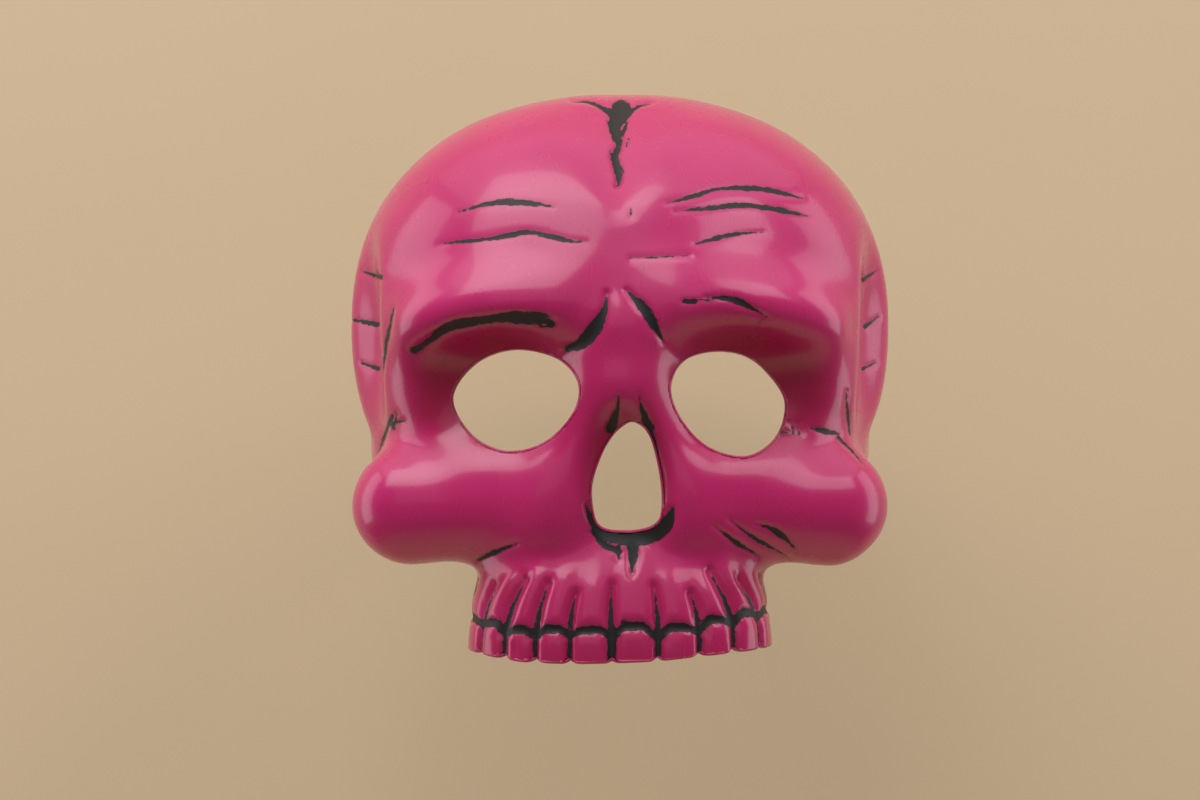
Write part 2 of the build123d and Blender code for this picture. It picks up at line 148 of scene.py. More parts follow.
@dataclass
class SkullForm:
    """The moulded form of the face, as a distance from its outer surface."""

    eye_point: tuple[float, float, float] = (0.0, 45.0, -4.0)
    valley_depth: float = 4.2
    cranium: Egg = Egg((0, 2, 27), (97, 80, 84), power=2.25)
    masses: tuple[Mass, ...] = (
        Mass("temple hollow", Blend.CARVE, Side.BOTH, 8.5, Egg((108.5, -29, 18), (25.5, 22.5, 54), power=2.2)),
        Mass("brow ridge", Blend.ADD, Side.BOTH, 16, Egg((41, -62, 31), (34, 15.5, 12), (0, 8, 12))),
        Mass("face block", Blend.ADD, Side.MIDDLE, 14, Egg((0, -38, -26), (60, 34, 34))),
        Mass("upper jaw", Blend.ADD, Side.MIDDLE, 13, Egg((0, -41, -94), (52.5, 38, 58), power=2.8)),
        Mass("eye socket", Blend.CARVE, Side.BOTH, 15, Egg((45, -85, 2.5), (37, 31, 21.5), (0, 0, 10))),
        Mass("nasal bridge", Blend.ADD, Side.MIDDLE, 9, Bone((0, -68, 24), (0, -68, 8), 13, 13)),
        Mass("nasal wall", Blend.ADD, Side.BOTH, 9, Bone((5, -66, 6), (23, -62, -38), 11, 11)),
        Mass("cheekbone", Blend.ADD, Side.BOTH, 12, Bone((26, -55, -33), (72.5, -42, -35.5), 18, 20.5)),
        Mass("cheek arch", Blend.ADD, Side.BOTH, 9, Bone((70, -36, -32), (76, 20, -18), 15, 15)),
        Mass("nose recess", Blend.CARVE, Side.MIDDLE, 6, Egg((2, -86, -25), (15, 19, 23))),
    )

    @staticmethod
    def join(a: Array, b: Array, reach: float) -> Array:
        """The smaller of two distances, rounded over where they meet."""
        h = np.clip(0.5 + 0.5 * (b - a) / reach, 0, 1)
        return b * (1 - h) + a * h - reach * h * (1 - h)

    def valley(self, points: Array) -> Array:
        """Depth of the valley that runs down the middle of the forehead."""
        x, y, z = points[..., 0], points[..., 1], points[..., 2]
        half_width = 4.5 + 12 * np.clip((z - 66) / 40, 0, 1)
        along = ramp(z, 58, 84) * (1 - ramp(z, 100, 113)) * ramp(-y, 20, 45)
        return self.valley_depth * np.exp(-(x / half_width) ** 2) * along

    def distance(self, points: Array) -> Array:
        """Distance of points from the outer surface, negative inside."""
        d = self.cranium.distance(points)
        for mass in self.masses:
            sign = mass.how.value
            for side in mass.side.value:
                d = sign * self.join(sign * d, mass.solid.distance(points * (side, 1, 1)), mass.reach)
        return d + self.valley(points)

    def normal(self, points: Array) -> Array:
        """Outward direction of the form at points near its surface."""
        step = 0.15
        slope = [self.distance(points + step * axis) - self.distance(points - step * axis) for axis in np.eye(3)]
        n = np.stack(slope, -1)
        return n / np.linalg.norm(n, axis=-1, keepdims=True)

    def march(self, start: Array, rays: Array, depth: float | Array = 0.0, far: float = 190.0) -> Array:
        """Follow rays from inside the form until they reach a depth under its outer surface.

        Args:
            start: where the rays start, one point or one per ray.
            rays: unit directions.
            depth: how far under the outer surface to stop.
            far: a distance that is surely outside.

        Returns:
            One point per ray.
        """
        near, beyond = np.full(rays.shape[:-1], 5.0), np.full(rays.shape[:-1], far)
        for _ in range(11):
            middle = (near + beyond) / 2
            inside = self.distance(start + middle[..., None] * rays) < -depth
            near, beyond = np.where(inside, middle, near), np.where(inside, beyond, middle)
        near_value = self.distance(start + near[..., None] * rays) + depth
        beyond_value = self.distance(start + beyond[..., None] * rays) + depth
        for _ in range(3):
            middle = near + (beyond - near) * np.clip(near_value / (near_value - beyond_value - 1e-12), 0.02, 0.98)
            value = self.distance(start + middle[..., None] * rays) + depth
            inside = value < 0
            near, near_value = np.where(inside, middle, near), np.where(inside, value, near_value)
            beyond, beyond_value = np.where(inside, beyond, middle), np.where(inside, beyond_value, value)
        return start + ((near + beyond) / 2)[..., None] * rays

    def cast(self, angles: Array, depth: float | Array = 0.0) -> Array:
        """Points seen from the eye point at pairs of angles, in degrees sideways and upwards."""
        turn, lift = np.radians(angles[..., 0]), np.radians(angles[..., 1])
        rays = np.stack([np.sin(turn), -np.cos(turn) * np.cos(lift), np.cos(turn) * np.sin(lift)], -1)
        return self.march(np.array(self.eye_point), rays, depth)


# ---------------------------------------------------------------------------------- outlines and lines
def smooth_line(points: Sequence[tuple[float, ...]], steps: int, closed: bool = False) -> Array:
    """Pass a smooth curve through points.

    Args:
        points: the points in order.
        steps: how many steps each span is cut into.
        closed: whether the curve returns to its first point.

    Returns:
        Points along the curve, without a repeated end if it is closed.
    """
    p = np.array(points, float)
    if len(p) < 3 and not closed:
        return np.linspace(p[0], p[-1], steps * (len(p) - 1) + 1)
    before = np.roll(p, 1, 0) if closed else np.vstack([2 * p[0] - p[1], p[:-1]])
    after = np.roll(p, -1, 0) if closed else np.vstack([p[1:], 2 * p[-1] - p[-2]])
    later = np.roll(p, -2, 0) if closed else np.vstack([p[2:], 2 * p[-1] - p[-2], 2 * p[-1] - p[-2]])
    spans = len(p) if closed else len(p) - 1
    t = (np.arange(steps) / steps)[None, :, None]
    a, b, c, d = (q[:spans, None, :] for q in (before, p, after, later))
    curve = 0.5 * (2 * b + (c - a) * t + (2 * a - 5 * b + 4 * c - d) * t ** 2 + (3 * b - a - 3 * c + d) * t ** 3)
    curve = curve.reshape(-1, p.shape[1])
    return curve if closed else np.vstack([curve, p[-1:]])


def run_lengths(path: Array) -> Array:
    """Distance along a path at each of its points."""
    return np.concatenate([[0], np.cumsum(np.linalg.norm(np.diff(path, axis=0), axis=1))])


def along_path(at: float | Array, length: Array, path: Array) -> Array:
    """Places on a path at distances along it."""
    return np.stack([np.interp(at, length, column) for column in path.T], -1)


def line_distance(places: Array, line: Array) -> tuple[Array, Array]:
    """Distance of flat places from a line of points, and how far along it the nearest point is.

    Args:
        places: flat places, one per row.
        line: the line's points.

    Returns:
        The distances, and shares of the line's length from 0 to 1.
    """
    a, b = line[:-1], line[1:]
    span = b - a
    length = np.linalg.norm(span, axis=1)
    start = np.concatenate([[0], np.cumsum(length)])
    t = np.clip(((places[:, None] - a) * span).sum(-1) / (length ** 2 + 1e-12), 0, 1)
    gap = np.linalg.norm(places[:, None] - a - t[..., None] * span, axis=-1)
    nearest = gap.argmin(1)
    rows = np.arange(len(places))
    return gap[rows, nearest], (start[nearest] + t[rows, nearest] * length[nearest]) / start[-1]


@dataclass(frozen=True)
class Outline:
    """Smooth closed outline of an opening, seen from the front."""

    points: tuple[tuple[float, float], ...]
    back_limit: float = -20.0

    def clear(self, points: Array) -> Array:
        """How far points are outside the opening, negative inside it; large behind the face."""
        line = smooth_line(self.points, 12, closed=True)
        line = np.vstack([line, line[:1]])
        flat = points[:, [0, 2]]
        result = np.full(len(points), 50.0)
        near = (np.abs(flat - line.mean(0)) < np.ptp(line, axis=0) / 2 + 12).all(1)
        near &= points[:, 1] < self.back_limit
        if near.any():
            places = flat[near]
            gap, _ = line_distance(places, line)
            a, b = line[:-1], line[1:]
            crosses = (a[:, 1] > places[:, None, 1]) != (b[:, 1] > places[:, None, 1])
            rise = np.where(np.abs(b[:, 1] - a[:, 1]) < 1e-12, 1e-12, b[:, 1] - a[:, 1])
            at = a[:, 0] + (places[:, None, 1] - a[:, 1]) * (b[:, 0] - a[:, 0]) / rise
            inside = (crosses & (places[:, None, 0] < at)).sum(1) % 2 == 1
            result[near] = np.where(inside, -gap, gap)
        return result


class Across(Enum):
    """What a line's first number means: millimetres sideways, or degrees round the jaw."""

    SIDEWAYS = "sideways"
    ROUND_JAW = "round jaw"


@dataclass(frozen=True)
class Line:
    """A line drawn on the face: its path, its widths along it and how deep it is moulded."""

    BRUSH: ClassVar[float] = 1.12

    path: tuple[tuple[float, float], ...]
    widths: tuple[float, ...]
    depth: float = 0.18
    inked: bool = True
    across: Across = Across.SIDEWAYS
    softness: float = 0.9

    def measure(self, places: Array) -> tuple[Array, Array]:
        """Distance of places from the line's middle, and the line's half width beside each."""
        scale = np.array([UpperJaw.MM_PER_DEGREE, 1.0]) if self.across is Across.ROUND_JAW else np.ones(2)
        line = smooth_line(self.path, 6) * scale
        gap, share = line_distance(places * scale, line)
        stops = np.linspace(0, 1, len(self.widths))
        return gap, np.interp(share, stops, self.widths) / 2 * self.BRUSH


class UpperJaw:
    """The teeth and their roots, laid out in degrees round the jaw and millimetres up."""

    MM_PER_DEGREE = 0.74
    CENTRE_Y = -41.0
    EDGES = (-108.0, -86.0, -65.5, -52.6, -39.4, -24.6, -4.1, 18.8, 37.3, 51.8, 66.0, 84.0, 106.0)
    ROOT_TOPS = ((-100, -63), (-82, -62), (-62, -61.5), (-47.2, -59.2), (-36.5, -60.4), (-22.9, -64), (-4.4, -60.9),
                 (18.0, -61.6), (35.2, -64), (46.0, -56.3), (59.1, -59.5), (76, -60), (98, -62))
    GUM_AT_EDGE = (-75, -75.5, -75.4, -78, -78.6, -78, -78.6, -79.2, -76.7, -74.6, -73.2, -73, -73)
    GUM_AT_MIDDLE = (-73.5, -73.8, -74.6, -76.4, -76.0, -76.2, -75.0, -75.4, -73.0, -71.2, -71.0, -71.0)
    GAP_WIDTHS = (1.0, 1.0, 1.1, 1.5, 1.3, 1.3, 2.8, 1.9, 1.4, 1.4, 1.2, 1.0, 1.0)
    BITE_ANGLES = (-108, -65, -45, -25, -4, 19, 37, 51, 65, 106)
    BITE_HEIGHTS = (-84.5, -85.6, -87.5, -87.9, -87.6, -87.0, -85.6, -84.6, -84.0, -83.6)
    SCALLOP = 1.5

    @classmethod
    def angle(cls, points: Array) -> Array:
        """Degrees round the jaw, from its middle."""
        return np.degrees(np.arctan2(points[:, 0], cls.CENTRE_Y - points[:, 1]))

    @classmethod
    def above_bite(cls, points: Array) -> Array:
        """How far points are above the scalloped lower edge of the teeth."""
        angle = cls.angle(points)
        gap = np.min([np.abs(angle - edge) for edge in cls.EDGES], axis=0) * cls.MM_PER_DEGREE
        edge_z = np.interp(angle, cls.BITE_ANGLES, cls.BITE_HEIGHTS) + cls.SCALLOP * bell(gap, 1.3)
        return points[:, 2] - edge_z

    @classmethod
    def lines(cls) -> list[Line]:
        """Root grooves, gaps, gum arches, and the swell of each root and crown."""
        made = []
        count = len(cls.EDGES)
        bite = np.interp(cls.EDGES, cls.BITE_ANGLES, cls.BITE_HEIGHTS)
        for k in range(count):
            edge, top, gum, gap = cls.EDGES[k], cls.ROOT_TOPS[k], cls.GUM_AT_EDGE[k], cls.GAP_WIDTHS[k]
            middle = ((top[0] + edge) / 2 + 0.6 * math.copysign(1, edge), (top[1] + gum) / 2)
            made.append(Line((top, middle, (edge, gum)), (0.3, 1.5, 1.3 + 0.6 * gap), 1.6, across=Across.ROUND_JAW,
                             softness=1.3))
            made.append(Line(((edge, gum + 0.5), (edge, bite[k])), (1.15 * gap, gap), 1.7,
                             across=Across.ROUND_JAW, softness=0.7))
        for k in range(count - 1):
            left, right = cls.EDGES[k], cls.EDGES[k + 1]
            centre, mid_z = (left + right) / 2, cls.GUM_AT_MIDDLE[k]
            ends = (cls.GUM_AT_EDGE[k] - 0.2, cls.GUM_AT_EDGE[k + 1] - 0.2)
            arch = ((left, ends[0]), (left * 0.72 + right * 0.28, mid_z - 0.2), (centre, mid_z),
                    (left * 0.28 + right * 0.72, mid_z - 0.2), (right, ends[1]))
            made.append(Line(arch, (2.3, 2.6, 3.0, 2.5, 2.3), 0.8, across=Across.ROUND_JAW, softness=0.8))
            wide = (right - left) * cls.MM_PER_DEGREE
            root = ((cls.ROOT_TOPS[k][0] + cls.ROOT_TOPS[k + 1][0]) / 2, cls.ROOT_TOPS[k][1] + 1)
            made.append(Line((root, (centre, mid_z + 2)), (0.1 * wide, 0.5 * wide), -0.9, False, Across.ROUND_JAW,
                             0.28 * wide))
            low = (bite[k] + bite[k + 1]) / 2
            made.append(Line(((centre, mid_z - 4), (centre, low + 2.5)), (0.5 * wide, 0.6 * wide), -0.5, False,
                             Across.ROUND_JAW, 0.25 * wide))
        return made


# Lines drawn by hand on the face: path in millimetres sideways and up, widths, moulded depth.
FACE_LINES = (
    # crack down the forehead, with its branches and ticks
    Line(((0.4, 104.5), (-1.7, 96.4), (-0.3, 90.5), (-1.7, 85.2), (-1.0, 81.9), (-0.3, 76.7), (-1.0, 74.2)),
         (6.0, 4.6, 3.4, 1.6, 2.6, 2.2, 0.5), 1.5),
    Line(((-17.3, 107.1), (-10.6, 106.5), (-3.9, 102.4), (-1.4, 98.7)), (0.4, 1.2, 2.0, 3.0), 0.8),
    Line(((10.9, 106.0), (5.6, 104.3), (0.7, 99.2)), (0.4, 1.4, 3.0), 0.8),
    Line(((2.8, 91.6), (2.1, 88.6)), (0.7, 0.5), 0.3),
    Line(((-4.6, 99.0), (-2.4, 95.0), (-2.2, 91.0)), (0.3, 2.0, 0.8), 0.3),
    Line(((2.6, 98.4), (1.4, 95.2), (0.6, 92.4)), (0.4, 1.6, 0.6), 0.3),
    Line(((-3.6, 86.9), (-1.6, 84.4)), (0.4, 1.4), 0.3),
    Line(((-0.2, 81.6), (1.3, 79.2)), (1.2, 0.4), 0.3),
    Line(((3.7, 65.6), (3.7, 63.2)), (0.8, 0.6), 0.3),
    # wrinkles
    Line(((-55.4, 65.3), (-46.7, 67.5), (-38.8, 68.4), (-28.1, 67.5), (-22.3, 66.4)), (0.4, 1.4, 2.2, 2.0, 0.4)),
    Line(((-61.9, 54.4), (-53.1, 55.1), (-42.7, 55.9), (-31.4, 57.8), (-24.3, 56.4), (-17.9, 54.9), (-11.5, 54.2)),
         (0.4, 1.3, 1.2, 1.9, 1.5, 1.8, 0.4)),
    Line(((15.9, 67.7), (24.8, 70.2), (32.7, 72.8), (42.0, 73.4), (51.4, 73.0), (63.1, 70.7)),
         (0.4, 1.7, 1.1, 1.9, 1.8, 0.4)),
    Line(((18.3, 64.9), (30.2, 66.1), (39.4, 67.3), (48.4, 66.9), (56.5, 65.7), (65.4, 64.3)),
         (0.4, 1.4, 1.9, 1.5, 2.0, 0.4)),
    Line(((25.3, 53.6), (33.8, 56.1), (41.7, 57.6), (49.0, 58.1)), (0.5, 1.7, 1.2, 0.4)),
    Line(((3.4, 48.8), (11.8, 49.1), (23.6, 49.8)), (0.3, 0.8, 0.3), 0.3),
    # eyebrows
    Line(((-71.1, 17.8), (-66.1, 20.1), (-59.3, 24.7), (-55.4, 26.3), (-46.1, 27.6), (-36.9, 28.5), (-29.2, 27.9),
          (-22.2, 27.0)), (1.9, 2.0, 2.4, 3.5, 2.6, 2.7, 4.2, 3.4, 0.9), 0.8),
    Line(((-27.0, 25.6), (-22.6, 25.9)), (0.8, 1.6), 0.4),
    Line(((-71.5, 15.6), (-67.0, 19.2), (-62.0, 22.2)), (0.3, 1.5, 0.6), 0.3),
    Line(((-65.8, 22.3), (-59.0, 25.9), (-54.0, 28.0)), (0.3, 1.8, 0.8), 0.3),
    Line(((-52.0, 27.9), (-44.0, 28.6), (-39.5, 30.2)), (0.8, 1.4, 0.3), 0.3),
    Line(((-31.5, 30.8), (-27.0, 29.6), (-23.0, 29.0)), (0.4, 1.8, 0.6), 0.3),
    Line(((21.4, 34.1), (25.1, 34.1)), (1.4, 1.8), 0.4),
    Line(((25.8, 34.8), (30.8, 34.2)), (0.5, 0.8), 0.3),
    Line(((28.5, 35.5), (34.8, 35.2), (40.3, 33.9), (45.4, 31.2), (49.5, 28.6)), (0.5, 1.6, 2.6, 1.3, 0.3), 0.7),
    # creases beside the nose bridge
    Line(((-4.4, 37.2), (-5.4, 31.1), (-8.0, 26.1), (-12.4, 20.5), (-17.9, 17.9)), (0.4, 2.2, 4.6, 4.0, 2.2), 1.0),
    Line(((2.3, 37.9), (8.0, 31.8), (11.4, 26.1), (14.8, 20.5)), (0.5, 3.2, 3.2, 0.5), 1.0),
    # temples
    Line(((-77.9, 32.6), (-79.5, 26.8), (-81.3, 19.7), (-83.4, 8.2)), (0.5, 1.6, 1.2, 0.4), 0.4),
    Line(((-92.6, 47.2), (-83.4, 43.8)), (0.6, 1.7), 0.4),
    Line(((-96.0, 29.9), (-86.7, 27.9)), (1.0, 1.9), 0.4),
    Line(((-93.1, 14.4), (-86.4, 12.2)), (0.6, 1.7), 0.4),
    Line(((86.2, 43.5), (91.8, 47.2)), (1.4, 0.6), 0.4),
    Line(((87.5, 27.2), (93.0, 30.9)), (1.4, 0.6), 0.4),
    Line(((86.7, 12.2), (91.6, 14.4)), (1.2, 0.5), 0.4),
    # where the cheekbones meet the temples
    Line(((-79.7, -4.9), (-84.5, -13.2), (-87.3, -19.9)), (1.8, 1.4, 0.4), 0.6),
    Line(((-80.3, -7.3), (-74.8, -6.2)), (1.6, 0.4), 0.4),
    Line(((-77.7, -3.8), (-79.0, -8.7)), (0.5, 1.6), 0.4),
    Line(((46.6, 8.2), (49.8, 3.6), (50.9, -1.4), (49.6, -6.6)), (0.3, 1.0, 1.6, 0.5), 0.3),
    Line(((49.5, -9.2), (54.0, -9.6), (58.6, -10.2)), (2.4, 1.5, 0.4), 0.4),
    Line(((58.8, -6.6), (59.6, -10.4)), (0.4, 0.8), 0.3),
    Line(((61.6, -6.8), (61.8, -10.6)), (0.4, 0.7), 0.3),
    Line(((66.0, -8.6), (71.4, -9.8), (76.4, -10.6)), (0.6, 2.2, 0.8), 0.4),
    Line(((76.0, -11.8), (80.6, -16.4), (83.6, -20.6)), (1.4, 1.0, 0.4), 0.5),
    Line(((78.6, 4.0), (79.4, -4.0), (80.6, -11.0)), (0.4, 1.4, 0.8), 0.4),
    # nose
    Line(((-0.4, 2.4), (-0.9, -2.4), (-2.8, -8.6)), (0.3, 1.9, 3.6), 0.6),
    Line(((6.4, 2.4), (7.5, -2.6), (9.6, -8.4)), (0.3, 1.9, 3.4), 0.6),
    Line(((-11.2, -34.6), (-9.6, -39.2), (-6.2, -43.2), (0.3, -45.2), (6.8, -45.4), (12.6, -43.6), (16.2, -39.4),
          (17.4, -35.9)), (0.5, 2.4, 4.4, 4.8, 5.2, 5.0, 4.8, 1.6), 0.8),
    Line(((-9.8, -43.4), (-5.4, -47.7), (-0.3, -50.0)), (0.6, 2.2, 1.8), 0.6),
    Line(((-0.7, -48.3), (-0.3, -53.0)), (1.6, 0.3), 0.5),
    Line(((4.1, -46.3), (4.4, -50.3), (4.0, -57.6)), (4.0, 3.0, 0.3), 0.7),
    Line(((10.4, -10.8), (13.8, -25.0), (14.6, -34.0)), (2.4, 1.4, 0.8), 0.3),
    # cheeks
    Line(((-49.0, -54.2), (-42.9, -51.1), (-34.9, -47.8)), (1.0, 1.8, 0.3), 0.6),
    Line(((32.0, -41.5), (39.4, -47.5), (47.5, -52.3)), (0.3, 1.7, 0.4), 0.5),
    Line(((37.2, -39.5), (45.9, -46.2), (58.2, -53.3)), (0.3, 1.4, 0.4), 0.5),
    Line(((46.5, -41.0), (53.8, -44.2), (60.3, -50.4)), (0.3, 2.2, 0.5), 0.5),
    # slips of the brush on the teeth
    Line(((-36.0, -80.5), (-35.4, -83.5)), (0.5, 0.4), 0.2),
    Line(((0.4, -74.6), (1.4, -72.2), (2.4, -74.4)), (0.6, 0.9, 0.5), 0.2),
)


@dataclass
class DrawnLines:
    """Every line on the face, and what they do to its surface."""

    lines: tuple[Line, ...]
    fade: float = 3.0

    def _near(self, line: Line, points: Array, margin: float) -> tuple[Array, Array]:
        """Which points are near a line, and their flat places in the line's own measure."""
        if line.across is Across.ROUND_JAW:
            flat = np.stack([UpperJaw.angle(points), points[:, 2]], 1)
            reach = np.array([margin / UpperJaw.MM_PER_DEGREE, margin])
            face = (points[:, 2] < -50) & (points[:, 1] < 5)
        else:
            flat, reach = points[:, [0, 2]], np.array([margin, margin])
            face = points[:, 1] < 12
        path = np.array(line.path)
        inside = (flat > path.min(0) - reach) & (flat < path.max(0) + reach)
        rows = np.nonzero(inside.all(1) & face)[0]
        return rows, flat[rows]

    def ink(self, points: Array) -> Array:
        """How far inside an inked line points are, in millimetres; negative outside."""
        value = np.full(len(points), -self.fade)
        for line in self.lines:
            if line.inked:
                rows, flat = self._near(line, points, self.fade + max(line.widths))
                if len(rows):
                    gap, half = line.measure(flat)
                    value[rows] = np.maximum(value[rows], half - gap)
        return value

    def depth(self, points: Array) -> Array:
        """How deep the lines are moulded at points, in millimetres; negative where they swell."""
        carved, raised = np.zeros(len(points)), np.zeros(len(points))
        for line in self.lines:
            rows, flat = self._near(line, points, 3 * line.softness + max(line.widths))
            if len(rows):
                gap, half = line.measure(flat)
                profile = line.depth * np.exp(-(gap / (half * 0.8 + line.softness)) ** 2)
                target = carved if line.depth > 0 else raised
                pick = np.maximum if line.depth > 0 else np.minimum
                target[rows] = pick(target[rows], profile)
        return carved + raised * np.clip(1 - carved, 0, 1)

    def nearness(self, points: Array) -> Array:
        """Distance of points from the edge band of any line; large where there is none."""
        value = np.full(len(points), 30.0)
        for line in self.lines:
            if line.depth > 0:
                rows, flat = self._near(line, points, 6.0)
                if len(rows):
                    gap, half = line.measure(flat)
                    value[rows] = np.minimum(value[rows], gap - half)
        return value


# ---------------------------------------------------------------------------------- meshes
def put(name: str, data: bpy.types.ID | None) -> bpy.types.Object:
    """A new object in the scene."""
    thing = bpy.data.objects.new(name, data)
    bpy.context.scene.collection.objects.link(thing)
    return thing


@dataclass
class Shape:
    """Vertices in millimetres, faces, and named numbers at each vertex, before they become an object."""

    points: list[Array] = field(default_factory=list)
    faces: list[tuple[int, ...]] = field(default_factory=list)
    values: dict[str, list[Array]] = field(default_factory=dict)
    count: int = 0

    def add(self, points: Array, faces: Sequence[Sequence[int]], **values: Array) -> int:
        """Add vertices and the faces between them.

        Args:
            points: the new vertices.
            faces: indices into the new vertices.
            values: named numbers, one for each new vertex.

        Returns:
            The index of the first new vertex.
        """
        first = self.count
        self.points.append(points)
        self.faces.extend(tuple(int(v) + first for v in face) for face in faces)
        for name, value in values.items():
            self.values.setdefault(name, []).append(np.broadcast_to(value, (len(points),)))
        self.count += len(points)
        return first

    def build(self, name: str, smooth: bool = True, uv: tuple[str, str] | None = None) -> bpy.types.Object:
        """Make the object, at the origin and in metres.

        Args:
            name: the object's name.
            smooth: whether its faces are shaded smooth.
            uv: names of the two values, in millimetres, that become its UV map in metres.

        Returns:
            The new object, linked to the scene.
        """
        mesh = bpy.data.meshes.new(name)
        mesh.from_pydata((np.vstack(self.points) * MM).tolist(), [], self.faces)
        for value_name, parts in self.values.items():
            layer = mesh.attributes.new(value_name, "FLOAT", "POINT")
            layer.data.foreach_set("value", np.concatenate(parts).astype(np.float32))
        if uv:
            corner = np.zeros(len(mesh.loops), np.int32)
            mesh.loops.foreach_get("vertex_index", corner)
            pair = np.stack([np.concatenate(self.values[key])[corner] for key in uv], 1) * MM
            mesh.uv_layers.new(name="UVMap").data.foreach_set("uv", pair.astype(np.float32).ravel())
        mesh.polygons.foreach_set("use_smooth", np.full(len(mesh.polygons), smooth))
        mesh.validate()
        mesh.update()
        return put(name, mesh)


def bridge(first_row: Sequence[int], second_row: Sequence[int], closed: bool = True) -> list[tuple[int, ...]]:
    """Quads between two rows of as many vertices."""
    n = len(first_row)
    return [(first_row[k], second_row[k], second_row[(k + 1) % n], first_row[(k + 1) % n])
            for k in range(n if closed else n - 1)]


def zip_rows(first_row: Sequence[int], first_at: Array, second_row: Sequence[int], second_at: Array
             ) -> list[tuple[int, int, int]]:
    """Triangles between two closed rows of different counts.

    Args:
        first_row: vertices of the first row, in order.
        first_at: their shares of the way round, rising from about 0 to about 1.
        second_row: vertices of the second row, in the same order round.
        second_at: their shares of the way round.

    Returns:
        Triangles that point the same way as bridge() between the same rows.
    """
    faces, i, j = [], 0, 0
    n, m = len(first_row), len(second_row)
    while i < n or j < m:
        next_i = first_at[i + 1] if i + 1 < n else 1 + first_at[(i + 1) % n] if i < n else math.inf
        next_j = second_at[j + 1] if j + 1 < m else 1 + second_at[(j + 1) % m] if j < m else math.inf
        a, b = first_row[i % n], second_row[j % m]
        if next_i <= next_j:
            faces.append((a, b, first_row[(i + 1) % n]))
            i += 1
        else:
            faces.append((a, b, second_row[(j + 1) % m]))
            j += 1
    return faces


# ---------------------------------------------------------------------------------- the skin of the shell
@dataclass
class SkinGrid:
    """Lattice of angles from the eye point, cut finer in steps where the surface needs it."""

    step: float = 0.25
    turns: tuple[float, float] = (-80.0, 80.0)
    lifts: tuple[float, float] = (-60.0, 80.0)
    base: int = 4
    levels: int = 3

    def angles(self, places: Array) -> Array:
        """Degrees sideways and upwards of lattice places."""
        return np.array([self.turns[0], self.lifts[0]]) + places * self.step

    def cells(self, wanted: Callable[[Array, int], Array]) -> Array:
        """Cut the lattice into cells.

        Args:
            wanted: tells for cells' middle angles and their size in lattice steps whether to cut them.

        Returns:
            Rows of the first corner's place and the size, in lattice steps.
        """
        wide = int(round((self.turns[1] - self.turns[0]) / self.step))
        high = int(round((self.lifts[1] - self.lifts[0]) / self.step))
        i, j = np.meshgrid(np.arange(0, wide, self.base), np.arange(0, high, self.base), indexing="ij")
        todo = np.stack([i.ravel(), j.ravel()], 1)
        size, done = self.base, []
        for _ in range(self.levels - 1):
            cut = wanted(self.angles(todo + size / 2), size)
            kept = todo[~cut]
            done.append(np.column_stack([kept, np.full(len(kept), size)]))
            half = size // 2
            todo = np.vstack([todo[cut] + np.array(shift) * half for shift in ((0, 0), (1, 0), (0, 1), (1, 1))])
            size = half
        done.append(np.column_stack([todo, np.full(len(todo), size)]))
        return np.vstack(done)

    @staticmethod
    def polygons(cells: Array) -> tuple[Array, list[list[int]]]:
        """Corners of cells, and each cell's outline with its smaller neighbours' corners in it."""
        size = cells[:, 2:3]
        corners = np.vstack([cells[:, :2] + np.array(s) * size for s in ((0, 0), (1, 0), (1, 1), (0, 1))])
        keys = np.unique(corners[:, 0] * 8192 + corners[:, 1])
        where = {int(key): n for n, key in enumerate(keys)}
        faces = []
        for i, j, s in cells.tolist():
            ring = []
            for a, b, di, dj in ((i, j, 1, 0), (i + s, j, 0, 1), (i + s, j + s, -1, 0), (i, j + s, 0, -1)):
                for t in range(s):
                    found = where.get((a + di * t) * 8192 + b + dj * t)
                    if found is not None:
                        ring.append(found)
            faces.append(ring)
        return np.stack([keys // 8192, keys % 8192], 1).astype(float), faces


@dataclass
class Trimmed:
    """A skin cut to its edges: vertices' angles and places, faces, and closed edge rows."""

    angles: Array
    points: Array
    faces: list[list[int]]
    rows: list[list[int]]


